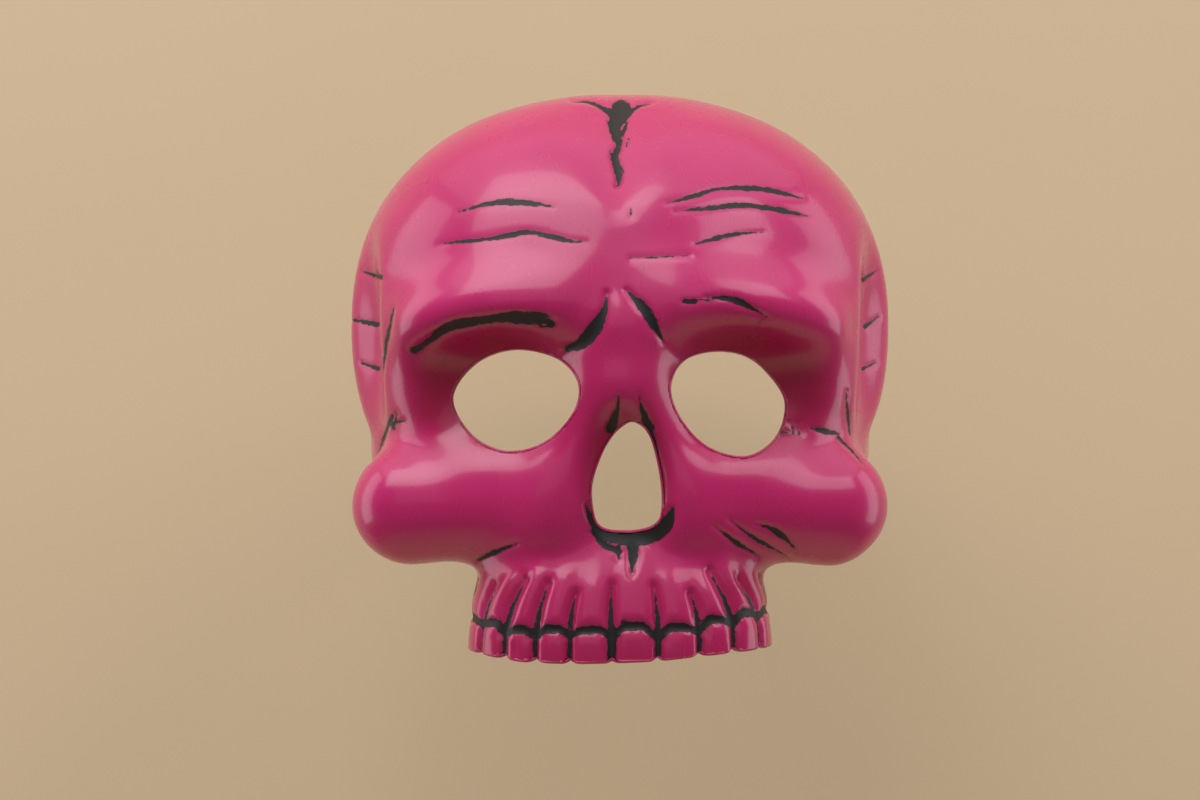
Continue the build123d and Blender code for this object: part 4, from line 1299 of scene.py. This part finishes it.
# ---------------------------------------------------------------------------------- stitches
@dataclass
class StitchMaker:
    """Sews rows of thread with one tree of geometry nodes."""

    thread: bpy.types.Material
    tree: bpy.types.NodeTree = field(init=False)

    def __post_init__(self) -> None:
        """Build the tree."""
        tree = bpy.data.node_groups.new("sewn_stitches", "GeometryNodeTree")
        tree.interface.new_socket("Geometry", in_out="INPUT", socket_type="NodeSocketGeometry")
        for name, value in (("Length", 0.002), ("Radius", 0.00025), ("Slack", 0.1)):
            tree.interface.new_socket(name, in_out="INPUT", socket_type="NodeSocketFloat").default_value = value
        tree.interface.new_socket("Seed", in_out="INPUT", socket_type="NodeSocketInt").default_value = 7
        tree.interface.new_socket("Geometry", in_out="OUTPUT", socket_type="NodeSocketGeometry")
        n = Nodes(tree)
        come, go = n.add("NodeGroupInput"), n.add("NodeGroupOutput")
        half = n.times(come.outputs["Length"], 0.5)
        low = n.add("ShaderNodeCombineXYZ", {"X": n.times(half, -1.0)}).outputs[0]
        high = n.add("ShaderNodeCombineXYZ", {"X": half}).outputs[0]
        sunk = n.times(come.outputs["Radius"], 0.9)
        middle = n.add("ShaderNodeCombineXYZ", {"Z": n.times(sunk, 1.6)}).outputs[0]
        arc = n.add("GeometryNodeCurveQuadraticBezier",
                    {"Resolution": 6, "Start": low, "Middle": middle, "End": high})
        ring = n.add("GeometryNodeCurvePrimitiveCircle", {"Resolution": 7, "Radius": come.outputs["Radius"]})
        body = n.add("GeometryNodeCurveToMesh", {"Curve": arc.outputs[0], "Profile Curve": ring.outputs[0],
                                                 "Fill Caps": True})
        smooth = n.add("GeometryNodeSetShadeSmooth", {"Geometry": body.outputs[0]})
        points = n.add("GeometryNodeMeshToPoints", {"Mesh": come.outputs["Geometry"]})
        along = n.add("GeometryNodeInputNamedAttribute", {"Name": "along"}, data_type="FLOAT_VECTOR")
        out = n.add("GeometryNodeInputNamedAttribute", {"Name": "outwards"}, data_type="FLOAT_VECTOR")
        turn = n.add("FunctionNodeAlignRotationToVector", {"Vector": out.outputs[0]}, axis="Z")
        turn = n.add("FunctionNodeAlignRotationToVector", {"Rotation": turn.outputs[0], "Vector": along.outputs[0]},
                     axis="X", pivot_axis="Z")
        spread = n.add("FunctionNodeRandomValue", {"Seed": come.outputs["Seed"]}, data_type="FLOAT")
        least = n.math("SUBTRACT", 1.0, come.outputs["Slack"])
        tree.links.new(least, [s for s in spread.inputs if s.name == "Min" and s.type == "VALUE"][0])
        most = [s for s in spread.inputs if s.name == "Max" and s.type == "VALUE"][0]
        most.default_value = 1.0
        scale = [s for s in spread.outputs if s.type == "VALUE"][0]
        sewn = n.add("GeometryNodeInstanceOnPoints", {"Points": points.outputs[0], "Instance": smooth.outputs[0],
                                                      "Rotation": turn.outputs[0], "Scale": scale})
        real = n.add("GeometryNodeRealizeInstances", {"Geometry": sewn.outputs[0]})
        dressed = n.add("GeometryNodeSetMaterial", {"Geometry": real.outputs[0], "Material": self.thread})
        tree.links.new(dressed.outputs[0], go.inputs[0])
        self.tree = tree

    def sew(self, name: str, points: Array, along: Array, outwards: Array, length: float, radius: float = 0.25,
            seed: int = 7) -> bpy.types.Object:
        """Sew one stitch at each point.

        Args:
            name: the piece's name.
            points: where the stitches lie, in millimetres.
            along: the way each stitch runs.
            outwards: the way each stitch faces.
            length: length of a stitch, in millimetres.
            radius: half the thread's thickness, in millimetres.
            seed: what the stitches' unevenness starts from.

        Returns:
            The stitches as one plain mesh.
        """
        mesh = bpy.data.meshes.new(name + "_holes")
        mesh.from_pydata((points * MM).tolist(), [], [])
        for key, value in (("along", along), ("outwards", outwards)):
            layer = mesh.attributes.new(key, "FLOAT_VECTOR", "POINT")
            layer.data.foreach_set("vector", np.ascontiguousarray(value, np.float32).ravel())
        holes = put(name + "_holes", mesh)
        modifier = holes.modifiers.new("sewing", "NODES")
        modifier.node_group = self.tree
        wanted = {"Length": length * MM, "Radius": radius * MM, "Seed": seed}
        for item in self.tree.interface.items_tree:
            if item.item_type == "SOCKET" and item.in_out == "INPUT" and item.name in wanted:
                modifier[item.identifier] = wanted[item.name]
        graph = bpy.context.evaluated_depsgraph_get()
        made = bpy.data.meshes.new_from_object(holes.evaluated_get(graph))
        made.name = name
        holes.modifiers.remove(modifier)
        bpy.data.objects.remove(holes)
        bpy.data.meshes.remove(mesh)
        return put(name, made)


# ---------------------------------------------------------------------------------- the pads
@dataclass
class FoamPad:
    """Foam pad faced with knitted cloth, glued inside the shell: its range of angles and its thickness."""

    name: str
    thickness: float
    turns: tuple[float, float]
    lifts: tuple[float, float]
    vents: tuple[tuple[float, float], ...] = ()
    clearance: float = 0.3
    seam_inset: float = 3.2
    rows: int = 64
    corner_power: float = 7
    waist: float = 0.035

    def corner(self, a: Array, b: Array) -> Array:
        """How far out places lie, in a square with round corners."""
        return (np.abs(a) ** self.corner_power + np.abs(b) ** self.corner_power) ** (1 / self.corner_power)

    def drawn_in(self, a: Array, b: Array) -> tuple[Array, Array]:
        """Places moved inwards between the corners."""
        return a * (1 - self.waist * (1 - b ** 2)), b * (1 - self.waist * (1 - a ** 2))

    def chart(self) -> tuple[Array, Array, Array]:
        """Lattice over the pad.

        Returns:
            Its two numbers from -1 to 1, drawn in between the corners, and its distance from the edge, 0 to 1.
        """
        line = np.sin(np.linspace(-1, 1, self.rows) * math.pi / 2 * 0.97) / math.sin(math.pi / 2 * 0.97)
        a, b = np.meshgrid(line, line, indexing="ij")
        largest = np.maximum(np.maximum(np.abs(a), np.abs(b)), 1e-6)
        round_corner = self.corner(a / largest, b / largest)
        return *self.drawn_in(a / round_corner, b / round_corner), 1 - largest

    def angles(self, a: Array, b: Array) -> Array:
        """Angles from the eye point at places on the pad."""
        turn = np.mean(self.turns) + a * np.ptp(self.turns) / 2
        lift = np.mean(self.lifts) + b * np.ptp(self.lifts) / 2
        return np.stack([turn, lift], -1)

    def build(self, form: SkullForm, wall: float, cloth: bpy.types.Material, foam: bpy.types.Material
              ) -> tuple[bpy.types.Object, tuple[Array, Array, Array]]:
        """Make the pad.

        Args:
            form: the shell's form, which the pad lies against.
            wall: the shell's thickness.
            cloth: material of its face.
            foam: material of its cut sides.

        Returns:
            The pad, and where its stitches lie, run and face.
        """
        a, b, rim = self.chart()
        angles = self.angles(a, b)
        back_depth = wall + self.clearance
        back = form.cast(angles, back_depth)
        size = np.array([np.linalg.norm(back[-1, self.rows // 2] - back[0, self.rows // 2]),
                         np.linalg.norm(back[self.rows // 2, -1] - back[self.rows // 2, 0])]) / 2
        inset = rim * size.min()
        u, v = a * size[0], b * size[1]
        height = 0.70 + 0.30 * (1 - np.exp(-inset / 3.4))
        swell = 1 - 0.12 * (1 - np.exp(-((inset / size.min()) ** 2) * 3)) - 0.02
        height = self.thickness * np.minimum(height * swell + 0.10, 1.0)
        seam = bell(inset - self.seam_inset, 0.75)
        ripple = np.sin((u + v) * 2 * math.pi / 5.2) * np.sin((u - v) * 2 * math.pi / 6.1)
        height = height - 0.95 * seam - 0.16 * ripple * bell(inset - self.seam_inset, 2.2)
        for vent_a, vent_b in self.vents:
            away = np.hypot(u - vent_a * size[0], v - vent_b * size[1])
            height = height - 2.4 * (1 - ramp(away, 1.1, 1.9))
        front = form.cast(angles, back_depth + height)
        shape = Shape()
        n = self.rows
        index = np.arange(n * n).reshape(n, n)
        quads = [(index[i, j], index[i + 1, j], index[i + 1, j + 1], index[i, j + 1])
                 for i in range(n - 1) for j in range(n - 1)]
        flat = dict(u=u.ravel(), v=v.ravel())
        front_first = shape.add(front.reshape(-1, 3), [q[::-1] for q in quads], **flat)
        cloth_faces = len(shape.faces)
        back_first = shape.add(back.reshape(-1, 3), quads, **flat)
        ring = [*index[:, 0], *index[-1, 1:], *index[-2::-1, -1], *index[0, -2:0:-1]]
        outward = (front.reshape(-1, 3)[ring] - front.reshape(-1, 3).mean(0))
        outward /= np.linalg.norm(outward, axis=1, keepdims=True)
        before = [back_first + k for k in ring]
        for share, puff in ((0.12, 0.1), (0.35, 0.5), (0.6, 0.62), (0.85, 0.35), (0.97, 0.08)):
            points = (1 - share) * back.reshape(-1, 3)[ring] + share * front.reshape(-1, 3)[ring] + puff * outward
            first = shape.add(points, [], u=u.ravel()[ring] + puff, v=v.ravel()[ring] + share)
            now = list(range(first, first + len(ring)))
            shape.faces.extend(face[::-1] for face in bridge(before, now))
            before = now
        shape.faces.extend(face[::-1] for face in bridge(before, [front_first + k for k in ring]))
        pad = shape.build(self.name + "_foam", uv=("u", "v"))
        pad.data.materials.append(foam)
        pad.data.materials.append(cloth)
        slots = np.zeros(len(pad.data.polygons), np.int32)
        slots[:cloth_faces] = 1
        pad.data.polygons.foreach_set("material_index", slots)
        return pad, self.stitch_line(form, back_depth, size)

    def stitch_line(self, form: SkullForm, back_depth: float, size: Array, pitch: float = 2.6
                    ) -> tuple[Array, Array, Array]:
        """Where stitches lie, run and face, round the pad and a little inside its edge."""
        turn = np.linspace(0, 2 * math.pi, 721)
        c, s = np.cos(turn), np.sin(turn)
        square = 1 / np.maximum(np.abs(c), np.abs(s))
        inward = 1 - self.seam_inset / size.min()
        a, b = c * square, s * square
        corner = self.corner(a, b)
        a, b = self.drawn_in(a / corner * inward, b / corner * inward)
        level = self.thickness * min(0.70 + 0.30 * (1 - math.exp(-self.seam_inset / 3.4)) + 0.06, 1.0) - 0.95
        path = form.cast(self.angles(a, b), back_depth + level + 0.02)
        length = run_lengths(path)
        at = np.arange(0, length[-1] - pitch / 2, pitch)
        points, ahead = along_path(at, length, path), along_path(at + 0.5, length, path)
        return points, ahead - points, -form.normal(points)


# ---------------------------------------------------------------------------------- the strap
@dataclass
class StrapRoute:
    """Where the webbing runs in the level plane of the rivets, in millimetres."""

    strap_x: float
    rivet_y: float
    level: float
    parallel: float = 7.0
    bend_radius: float = 24.0
    lean: float = math.radians(22.0)
    straight: float = 60.0
    thickness: float = 1.6
    ply_step: float = 4.2
    ring_front: float = 27.6
    ring_back: float = 34.4
    tail: float = 40.0
    chape_return: float = 8.0

    @property
    def lean_start(self) -> float:
        """Distance from the rivet to the leaning stretch."""
        return self.parallel + self.bend_radius * self.lean

    def side_point(self, side: int, along: float, inward: float = 0.0) -> tuple[float, float]:
        """Place on one side's webbing, by distance from the rivet and depth towards the head."""
        if along <= self.parallel:
            return side * (self.strap_x - inward), self.rivet_y + along
        turn = min((along - self.parallel) / self.bend_radius, self.lean)
        run = max(along - self.lean_start, 0.0)
        x = self.strap_x - self.bend_radius + (self.bend_radius - inward) * math.cos(turn) - run * math.sin(turn)
        y = self.rivet_y + self.parallel + (self.bend_radius - inward) * math.sin(turn) + run * math.cos(turn)
        return side * x, y

    def fold(self, side: int, along: float, towards: int) -> list[tuple[float, float]]:
        """Half circle from the outer ply to the inner one."""
        radius = self.ply_step / 2
        return [self.side_point(side, along + towards * radius * math.sin(turn), radius * (1 - math.cos(turn)))
                for turn in np.linspace(0, math.pi, 13)]

    def band(self) -> Array:
        """The band, from the right rivet round the back and through the ring to its tail."""
        end = self.lean_start + self.straight
        right = [self.side_point(1, s) for s in np.arange(-10, end, 1.0)]
        back_x, back_y = self.side_point(1, end)
        radius = back_x / math.cos(self.lean)
        centre_y = back_y - radius * math.sin(self.lean)
        turns = np.linspace(self.lean, math.pi - self.lean, 160)
        back = [(radius * math.cos(t), centre_y + radius * math.sin(t)) for t in turns]
        left = [self.side_point(-1, s) for s in np.arange(end - 1, self.ring_back, -1.0)]
        tail = [self.side_point(-1, s, self.ply_step) for s in np.arange(1, self.tail + 0.01, 1.0) + self.ring_back]
        return np.array(right + back + left + self.fold(-1, self.ring_back, -1) + tail)

    def chape(self) -> Array:
        """The short piece, from the left rivet round the ring's front bar to its sewn end."""
        out = [self.side_point(-1, s) for s in np.arange(-10, self.ring_front, 1.0)]
        back = []
        for s in np.arange(0.8, self.chape_return + 0.01, 0.8):
            pinch = float(ramp(np.array(s), 0.4, 4.6))
            inward = self.ply_step + (self.thickness + 0.05 - self.ply_step) * pinch
            back.append(self.side_point(-1, self.ring_front - s, inward))
        return np.array(out + self.fold(-1, self.ring_front, 1) + back)


@dataclass
class Webbing:
    """A length of flat elastic webbing along a route."""

    name: str
    route: Array
    level: float
    width: float = 20.0
    thickness: float = 1.6
    pitch: float = 1.1

    def frames(self) -> tuple[Array, Array, Array]:
        """Evenly spaced places along the route, the way across the webbing's thickness, and their distances."""
        gap = np.linalg.norm(np.diff(self.route, axis=0), axis=1)
        keep = np.concatenate([[True], gap > 1e-6])
        path = self.route[keep]
        length = run_lengths(path)
        at = np.linspace(0, length[-1], int(length[-1] / self.pitch) + 1)
        places = along_path(at, length, path)
        tangent = np.gradient(places, axis=0)
        tangent /= np.linalg.norm(tangent, axis=1, keepdims=True)
        return places, np.stack([tangent[:, 1], -tangent[:, 0]], 1), at

    def build(self) -> bpy.types.Object:
        """Make the webbing: a round first end, thick selvedges and a heat-sealed last end."""
        places, across, at = self.frames()
        half, radius = self.width / 2, self.thickness / 2
        shape = Shape()
        flat = np.linspace(-1, 1, 17)
        bow = np.linspace(-math.pi / 2, math.pi / 2, 6)[1:-1]
        profile = [(w, 1.0, 0.0) for w in flat] + [(1.0, -math.sin(t), math.cos(t)) for t in bow]
        profile += [(w, -1.0, 0.0) for w in flat[::-1]] + [(-1.0, math.sin(t), math.cos(t)) for t in bow]
        before: list[int] = []
        for place, side, s in zip(places, across, at):
            reach = math.sqrt(max(half ** 2 - (half - min(s, half)) ** 2, 0.8)) if s < half else half
            end = at[-1] - s
            seal = float(bell(np.array(end), 1.0))
            swell = 1 + 0.10 * seal
            reach = reach * (1 - 0.012 * seal) + 0.10 * math.sin(s * 0.23)
            sway = 0.10 * math.sin(s * 0.11 + 1.0) * float(ramp(np.array(s), 14, 40))
            ring = []
            for w, t, bulge in profile:
                z = w * (reach - radius) + math.copysign(bulge * radius, w) * (bulge > 0)
                thick = radius * t * swell * (1 + 0.05 * bell(np.array(abs(w) - 0.93), 0.06) * (bulge == 0))
                thick -= 0.05 * math.sin(w * 9) * t
                ring.append((*(place + side * (thick + sway)), self.level + z))
            first = shape.add(np.array(ring), [], u=np.array([w for w, _, _ in profile]) * (half - radius), v=s)
            now = list(range(first, first + len(ring)))
            if before:
                shape.faces.extend(bridge(before, now))
            else:
                shape.faces.append(tuple(now))
            before = now
        shape.faces.append(tuple(before[::-1]))
        return shape.build(self.name, uv=("u", "v"))

    def zigzag(self, from_end: float, reach: float, face: int, count: int) -> tuple[Array, Array, Array]:
        """Stitches of a zigzag across the webbing.

        Args:
            from_end: distance of its middle from the last end.
            reach: how far along the webbing each stitch runs.
            face: 1 or -1, the side of the webbing that it shows on.
            count: how many stitches.

        Returns:
            Where the stitches lie, run and face.
        """
        places, across, at = self.frames()
        middle = at[-1] - from_end
        here, side = along_path(middle, at, places), along_path(middle, at, across)
        tangent = np.array([-side[1], side[0], 0.0])
        out = np.array([side[0], side[1], 0.0]) * face
        heights = np.linspace(-1, 1, count) * (self.width / 2 - 1.6)
        base = np.array([here[0], here[1], self.level]) + out * (self.thickness / 2 + 0.02)
        points = base + np.outer(heights, (0, 0, 1))
        step = heights[1] - heights[0]
        lean = np.where(np.arange(count) % 2 == 0, 1.0, -1.0)[:, None]
        along = lean * tangent * reach + np.array([0, 0, step])
        return points, along, np.broadcast_to(out, points.shape)


# ---------------------------------------------------------------------------------- the assembly
@dataclass
class Shell:
    """The painted shell."""

    skin: ShellSkin = field(default_factory=ShellSkin)

    def build(self, lacquer: bpy.types.Material) -> bpy.types.Object:
        """Make and dress the shell."""
        shell = self.skin.build()
        shell.data.materials.append(lacquer)
        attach(shell, "mask")
        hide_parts("skull_shell")
        LOG.info("skull_skin: %d faces", len(shell.data.polygons))
        return shell


@dataclass
class Padding:
    """The four pads inside the shell."""

    pads: tuple[FoamPad, ...] = (
        FoamPad("forehead_pad", 8.0, (-27.0, 27.0), (24.0, 37.0),
                tuple((a, 0.0) for a in np.linspace(-0.78, 0.78, 9)), rows=120),
        FoamPad("nose_bridge_pad", 5.0, (-4.2, 4.2), (8.5, 16.0), seam_inset=2.2, rows=48),
        FoamPad("cheek_pad_right", 8.0, (15.0, 28.0), (-22.5, -12.0), ((-0.3, 0.0), (0.3, 0.0))),
        FoamPad("cheek_pad_left", 8.0, (-28.0, -15.0), (-22.5, -12.0), ((-0.3, 0.0), (0.3, 0.0))),
    )

    def build(self, form: SkullForm, wall: float, cloth: bpy.types.Material, foam: bpy.types.Material,
              sewing: StitchMaker) -> None:
        """Make, sew and dress the pads."""
        for seed, pad in enumerate(self.pads):
            piece, (points, along, outwards) = pad.build(form, wall, cloth, foam)
            stitches = sewing.sew(pad.name + "_stitches", points, along, outwards, 2.0, 0.22, seed)
            for thing in (piece, stitches):
                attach(thing, "mask")
            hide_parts(pad.name)
            LOG.info("%s: %d stitches", pad.name, len(points))


@dataclass
class Strap:
    """The band and the short piece of webbing, with their sewing."""

    def build(self, cloth: bpy.types.Material, sewing: StitchMaker) -> None:
        """Make, sew and dress the webbing."""
        low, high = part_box("strap_grommet_right")
        rivet_low, rivet_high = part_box("rivet_right")
        band_low, band_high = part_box("strap_band")
        middle = (Vector(low) + Vector(high)) / 2 / MM
        rivet = (rivet_low + rivet_high) / 2 / MM
        route = StrapRoute(middle.x, rivet.y, (band_low.z + band_high.z) / 2 / MM)
        band = Webbing("band_webbing", route.band(), route.level)
        chape = Webbing("chape_webbing", route.chape(), route.level)
        sewn = [sewing.sew("band_end_stitches_out", *band.zigzag(1.05, 1.1, 1, 19), 1.9, 0.22, 11),
                sewing.sew("band_end_stitches_in", *band.zigzag(1.05, 1.1, -1, 19), 1.9, 0.22, 12),
                sewing.sew("chape_stitches_in", *chape.zigzag(1.9, 1.6, -1, 19), 1.9, 0.22, 13),
                sewing.sew("chape_stitches_out", *self.outer_row(route, 19), 1.9, 0.22, 14)]
        for piece, node in ((band.build(), "strap_band"), (chape.build(), "strap_chape")):
            piece.data.materials.append(cloth)
            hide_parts(node)
            sewn.append(piece)
            LOG.info("%s: %d faces", piece.name, len(piece.data.polygons))
        for thing in sewn:
            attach(thing, "strap")

    @staticmethod
    def outer_row(route: StrapRoute, count: int) -> tuple[Array, Array, Array]:
        """The same stitches where they come out on the short piece's outer face."""
        straight = Webbing("", np.array([route.side_point(-1, s) for s in np.arange(0, 30.01, 1.0)]), route.level)
        return straight.zigzag(30.0 - (route.ring_front - route.chape_return + 1.9), 1.6, -1, count)


@dataclass
class Fittings:
    """The metal and moulded pieces that keep their own shape and get a finish."""

    finishes: dict[str, tuple[str, ...]] = field(default_factory=lambda: {
        "nickel": ("rivet_left", "rivet_right", "rivet_cap_left", "rivet_cap_right", "strap_grommet_left",
                   "strap_grommet_right"),
        "wire": ("strap_ring",),
        "nylon": ("rivet_spacer_left", "rivet_spacer_right", "strap_slider")})

    def dress(self, materials: dict[str, bpy.types.Material]) -> None:
        """Give each fitting its finish."""
        for key, names in self.finishes.items():
            for name in names:
                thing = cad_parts[name]
                thing.data.materials.clear()
                thing.data.materials.append(materials[key])
                LOG.info("%s: %s", name, key)


@dataclass
class Studio:
    """Pale floor and backdrop, soft lights and the camera."""

    camera_distance: float = 1.100
    lens: float = 91.3
    shift: tuple[float, float] = (-20 / 1200, 3 / 1200)
    backdrop_y: float = 0.18
    floor_z: float = -1.05
    paint: Colour = (0.72, 0.555, 0.370)
    glow: float = 0.15
    ambient: Colour = (0.14, 0.13, 0.12)
    seen: Colour = (0.62, 0.47, 0.305)

    def sheet(self, name: str, centre: tuple[float, float, float], upright: bool, radius: float
              ) -> bpy.types.Object:
        """A round sheet that fades out towards its edge."""
        count = 96
        turn = np.linspace(0, 2 * math.pi, count + 1)[:-1]
        rings = [np.zeros((1, 2))] + [np.stack([np.cos(turn), np.sin(turn)], 1) * r for r in (0.3, 0.6, 1.0)]
        flat = np.vstack(rings) * radius
        zero = np.zeros(len(flat))
        points = np.stack([flat[:, 0], zero, flat[:, 1]] if upright else [flat[:, 0], flat[:, 1], zero], 1) + centre
        rows = [list(range(1 + ring * count, 1 + (ring + 1) * count)) for ring in range(3)]
        faces = [(0, rows[0][k], rows[0][(k + 1) % count]) for k in range(count)]
        faces += bridge(rows[0], rows[1]) + bridge(rows[1], rows[2])
        shape = Shape()
        shape.add(points / MM, faces)
        thing = shape.build(name, smooth=False)
        thing.data.materials.append(self.paper(name + "_paper", centre, radius))
        return thing

    def paper(self, name: str, centre: tuple[float, float, float], radius: float) -> bpy.types.Material:
        """Matt pale paper that fades out towards its edge and shows from its front only."""
        material = bpy.data.materials.new(name)
        material.use_nodes = True
        n = Nodes(material.node_tree)
        shader = own_node(material.node_tree, "BSDF_PRINCIPLED")
        out = own_node(material.node_tree, "OUTPUT_MATERIAL")
        place = n.place()
        moved = n.add("ShaderNodeVectorMath", {0: place, 1: centre}, operation="SUBTRACT").outputs[0]
        away = n.add("ShaderNodeVectorMath", {0: moved}, operation="LENGTH").outputs["Value"]
        fade = n.between(away, radius * 0.30, radius * 0.85)
        fade = n.math("MAXIMUM", fade, n.add("ShaderNodeNewGeometry").outputs["Backfacing"])
        cloud = n.noise(place, 5.0, 4.0)
        colour = n.mix(cloud, tuple(c * 0.97 for c in self.paint), tuple(c * 1.03 for c in self.paint))
        fibre = n.noise(place, 900.0, 3.0)
        bump = n.bump(fibre, 0.0001, 0.3)
        Finish.connect(n, shader, Base_Color=colour, Roughness=0.95, Normal=bump, Specular_IOR_Level=0.1)
        shader.inputs["Emission Color"].default_value = (*self.paint, 1.0)
        shader.inputs["Emission Strength"].default_value = self.glow
        clear = n.add("ShaderNodeBsdfTransparent")
        blend = n.add("ShaderNodeMixShader", {0: fade, 1: shader.outputs[0], 2: clear.outputs[0]})
        n.tree.links.new(blend.outputs[0], out.inputs["Surface"])
        return material

    def light(self, name: str, place: tuple[float, float, float], aim: tuple[float, float, float],
              size: tuple[float, float], watts: float) -> None:
        """A soft rectangular light."""
        lamp = bpy.data.lights.new(name, "AREA")
        lamp.shape, lamp.size, lamp.size_y = "RECTANGLE", *size
        lamp.energy = watts
        thing = put(name, lamp)
        thing.location = place
        thing.rotation_mode = "QUATERNION"
        thing.rotation_quaternion = (Vector(aim) - Vector(place)).to_track_quat("-Z", "Y")

    def build(self) -> None:
        """Set up the studio."""
        self.sheet("backdrop", (0, self.backdrop_y, 0), True, 1.3)
        self.sheet("floor", (0, 0, self.floor_z), False, 1.5)
        world = bpy.data.worlds.new("studio")
        world.use_nodes = True
        n = Nodes(world.node_tree)
        background = own_node(world.node_tree, "BACKGROUND")
        seen = n.add("ShaderNodeLightPath").outputs["Is Camera Ray"]
        n.tree.links.new(n.mix(seen, self.ambient, self.seen), background.inputs["Color"])
        bpy.context.scene.world = world
        self.light("sky_panel", (0.0, -0.15, 1.60), (0, -0.1, 0), (3.0, 2.0), 17)
        self.light("key_softbox", (-0.50, -0.85, 1.25), (0, 0, 0), (1.35, 0.95), 11)
        self.light("fill_softbox", (0.95, -1.00, 1.10), (0, 0, 0), (0.80, 0.65), 4)
        self.light("front_panel", (-0.3, -2.5, 0.9), (0, 0, 0), (2.6, 1.6), 4)
        self.light("left_panel", (-1.15, 0.05, 0.20), (0, 0, 0.02), (0.6, 1.5), 5)
        self.light("right_panel", (1.15, 0.05, 0.20), (0, 0, 0.02), (0.6, 1.5), 5)
        bpy.context.scene.view_settings.view_transform = "Standard"
        data = bpy.data.cameras.new("camera")
        data.lens, data.sensor_width = self.lens, 36.0
        data.shift_x, data.shift_y = self.shift
        data.clip_start, data.clip_end = 0.02, 20
        camera = put("camera", data)
        camera.location = (0, -self.camera_distance, 0)
        camera.rotation_euler = (math.pi / 2, 0, 0)
        bpy.context.scene.camera = camera


def main() -> None:
    """Build every sub-assembly in order."""
    logging.basicConfig(level=logging.INFO, format="%(name)s %(message)s", stream=sys.stdout)
    shared = {"handling_marks": handling_marks(), "yarn_rows": yarn_rows()}
    thread = TwistedThread("sewing_thread").make()
    sewing = StitchMaker(thread)
    shell = Shell()
    shell.build(PinkLacquer(shared=shared).make())
    tricot = Cloth("pad_tricot", shared, row=0.0005, pick=0.0004, relief=0.0001, sheen=0.35).make()
    Padding().build(shell.skin.form, shell.skin.wall, tricot, FoamCut("pad_foam_cut").make(), sewing)
    webbing = Cloth("elastic_webbing_knit", shared, row=0.0015, pick=0.0009, relief=0.0003).make()
    Strap().build(webbing, sewing)
    Fittings().dress({"nickel": PlatedMetal("nickel_plating", shared).make(),
                      "wire": PlatedMetal("plated_wire_steel", shared, MetalColour.STEEL, 0.14).make(),
                      "nylon": MouldedNylon("black_nylon_moulding", shared).make()})
    Studio().build()


if __name__ == "__main__":
    main()
